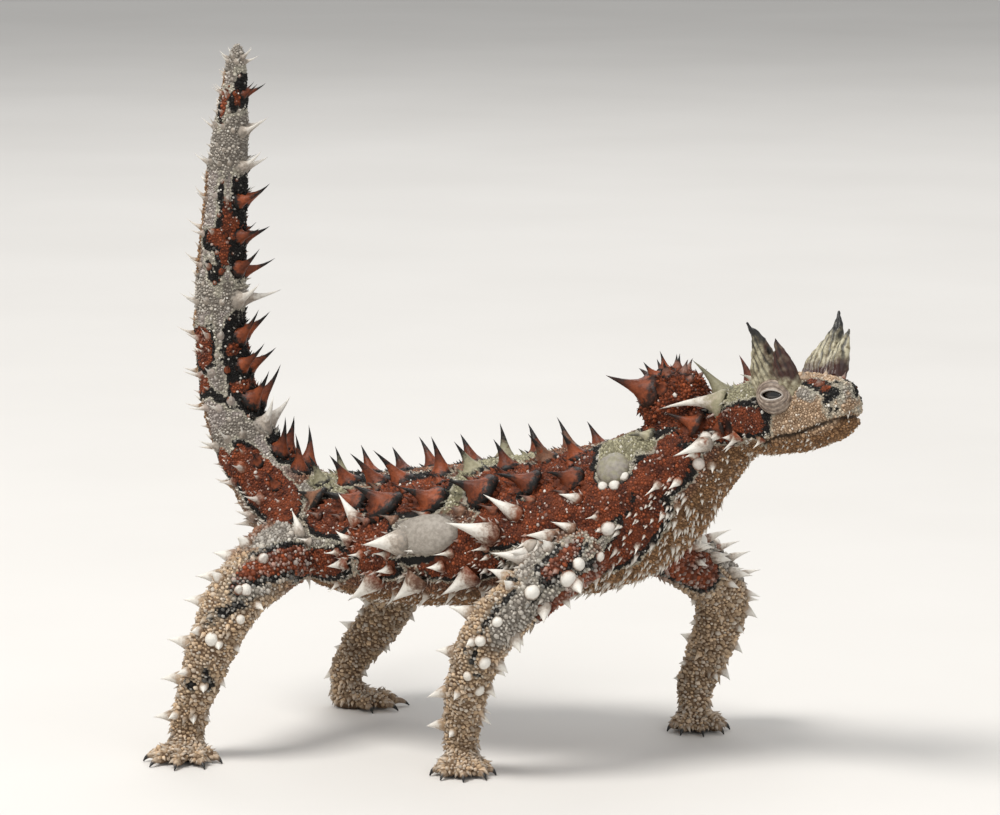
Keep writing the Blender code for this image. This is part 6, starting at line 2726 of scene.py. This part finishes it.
# Levels of a claw: share of its reach, height and half thickness in millimetres
CLAW_LEVELS = ((0.0, 0.85, 0.55), (0.3, 0.95, 0.5), (0.6, 0.8, 0.36), (0.85, 0.45, 0.2), (1.0, 0.12, 0.06))


@dataclass
class Claws:
    """The claws of one foot.

    Fields:
        leg: The leg.
        share: A claw's length as a share of its toe's.
    """

    leg: Leg
    share: float = 0.42

    def build(self) -> bpy.types.Object:
        """Makes the five claws as one piece.

        Returns:
            The piece.
        """
        bm = bmesh.new()
        tip = bm.verts.layers.float.new("tip")
        for fan, toe_share in zip(TOE_FAN, TOE_SHARES):
            ahead = level(self.leg.heading + fan)
            length = self.leg.toe_length * toe_share
            root = self.leg.sole + ahead * (TOE_ROOT + length * 0.9)
            reach = length * self.share
            stations = tuple(
                (*(root + ahead * (reach * out) + Vector((0.0, 0.0, height))), *(thick,) * 3)
                for out, height, thick in CLAW_LEVELS
            )
            line = Line(stations, tuple(level(self.leg.heading + fan - 90.0)))
            before = set(bm.verts)
            loft(bm, line, 0.0, line.length, 0.25, 12, 0.0)
            for vertex in set(bm.verts) - before:
                vertex[tip] = (vertex.co - root).dot(ahead) / reach
        for vertex in bm.verts:
            vertex.co.z = max(vertex.co.z, FLOOR_GAP)
        claws = finished(f"claws_{self.leg.name}", bm)
        claws.data.materials.append(Bone("claw_finish", *CLAW_COLOURS).material())
        return settle(claws, Slot.HORN)


# The lights: name, place, width and height in metres, power in watts and colour
LIGHTS = (
    ("key", (-0.25, -0.5, 1.0), 0.45, 0.4, 12.0, (1.0, 0.98, 0.95)),
    ("fill", (0.9, -0.7, 0.5), 0.9, 0.7, 3.4, (0.95, 0.97, 1.0)),
    ("back", (-0.3, 0.9, 0.8), 0.9, 0.5, 4.0, (1.0, 1.0, 1.0)),
)
LIGHT_AIM = Vector((0.0, 0.0, 0.04))
ROOM_COLOUR = (0.93, 0.94, 0.95, 1.0)
ROOM_STRENGTH = 0.57
SENSOR_WIDTH = 36.0
FLOOR_COLOURS = ((0.62, 0.60, 0.57), (0.70, 0.68, 0.65))


@dataclass
class Studio:
    """The floor, the lights and the camera.

    Fields:
        azimuth: Where the camera stands, in degrees from the animal's right side towards its head.
        height: How far the camera is above the horizon, in degrees.
        distance: How far it is, in millimetres.
        aim: What it looks at: distances to its own right and up from the plan's origin.
        frame_width: How wide the picture is at that distance, in millimetres.
    """

    azimuth: float = 24.0
    height: float = 8.5
    distance: float = 750.0
    aim: tuple[float, float] = (32.3, 49.4)
    frame_width: float = 154.0

    def build(self) -> None:
        """Sets everything up."""
        self.camera()
        self.floor()
        bpy.context.scene.view_settings.view_transform = "Standard"
        for light in LIGHTS:
            self.light(*light)
        world = bpy.data.worlds.new("room")
        world.use_nodes = True
        background = world.node_tree.nodes["Background"]
        background.inputs["Color"].default_value = ROOM_COLOUR
        background.inputs["Strength"].default_value = ROOM_STRENGTH
        bpy.context.scene.world = world

    def camera(self) -> None:
        """The camera, at the photograph's angle."""
        turn, rise = math.radians(self.azimuth), math.radians(self.height)
        look = Vector((-math.sin(turn) * math.cos(rise), math.cos(turn) * math.cos(rise), -math.sin(rise)))
        right = Vector((math.cos(turn), math.sin(turn), 0.0))
        upper = right.cross(look)
        aim = right * self.aim[0] + upper * self.aim[1]
        data = bpy.data.cameras.new("camera")
        data.sensor_width = SENSOR_WIDTH
        data.lens = SENSOR_WIDTH * self.distance / self.frame_width
        data.clip_start, data.clip_end = 0.02, 20.0
        camera = bpy.data.objects.new("camera", data)
        bpy.context.scene.collection.objects.link(camera)
        turned = Matrix((right, upper, -look)).transposed().to_4x4()
        camera.matrix_world = Matrix.Translation((aim - look * self.distance) * MM + SHIFT) @ turned
        bpy.context.scene.camera = camera

    def floor(self) -> None:
        """A wide pale floor with a little grain."""
        bm = bmesh.new()
        bmesh.ops.create_grid(bm, x_segments=4, y_segments=4, size=8.0)
        mesh = bpy.data.meshes.new("floor")
        bm.to_mesh(mesh)
        bm.free()
        floor = bpy.data.objects.new("floor", mesh)
        bpy.context.scene.collection.objects.link(floor)
        g = Graph("floor_finish")
        colour = g.mix(g.noise(0.01, 4.0), *FLOOR_COLOURS)
        g.feed(g.shader.inputs["Base Color"], colour)
        g.shader.inputs["Roughness"].default_value = 0.85
        mesh.materials.append(g.material)

    @staticmethod
    def light(name: str, place: tuple, wide: float, high: float, power: float, colour: tuple) -> None:
        """A soft square light that faces the animal.

        Args:
            name: Its name.
            place: Where it is, in metres.
            wide: Its width.
            high: Its height.
            power: Its power, in watts.
            colour: Its colour.
        """
        data = bpy.data.lights.new(name, "AREA")
        data.shape = "RECTANGLE"
        data.size, data.size_y = wide, high
        data.energy = power
        data.color = colour
        light = bpy.data.objects.new(name, data)
        bpy.context.scene.collection.objects.link(light)
        light.location = place
        light.rotation_euler = (LIGHT_AIM - Vector(place)).to_track_quat("-Z", "Y").to_euler()


def note(pieces: list[bpy.types.Object]) -> None:
    """Reports each piece and its size.

    Args:
        pieces: The pieces.
    """
    for piece in pieces:
        triangles = sum(len(face.vertices) - 2 for face in piece.data.polygons)
        log.info("%s: %d triangles", piece.name, triangles)


def main() -> None:
    """Builds the animal's looks and the studio."""
    logging.basicConfig(level=logging.INFO, format="%(relativeCreated)6d %(message)s")
    flesh = Skin()
    skin = flesh.build()
    note([skin])
    ground = Ground(skin, flesh.places)
    thorns = Thorns(ground)
    note(thorns.build(THORN_FINISH.material()))
    taken = [(row[0], row[1], row[2], row[10]) for row in thorns.rows]
    note(Granules(ground).build(GRANULE_FINISH.material(), taken))
    for side in Side:
        note(Eye(side).build())
        note([Horn(side).build()])
    for leg in LEGS:
        note([Claws(leg).build()])
    Studio().build()


if __name__ == "__main__":
    main()
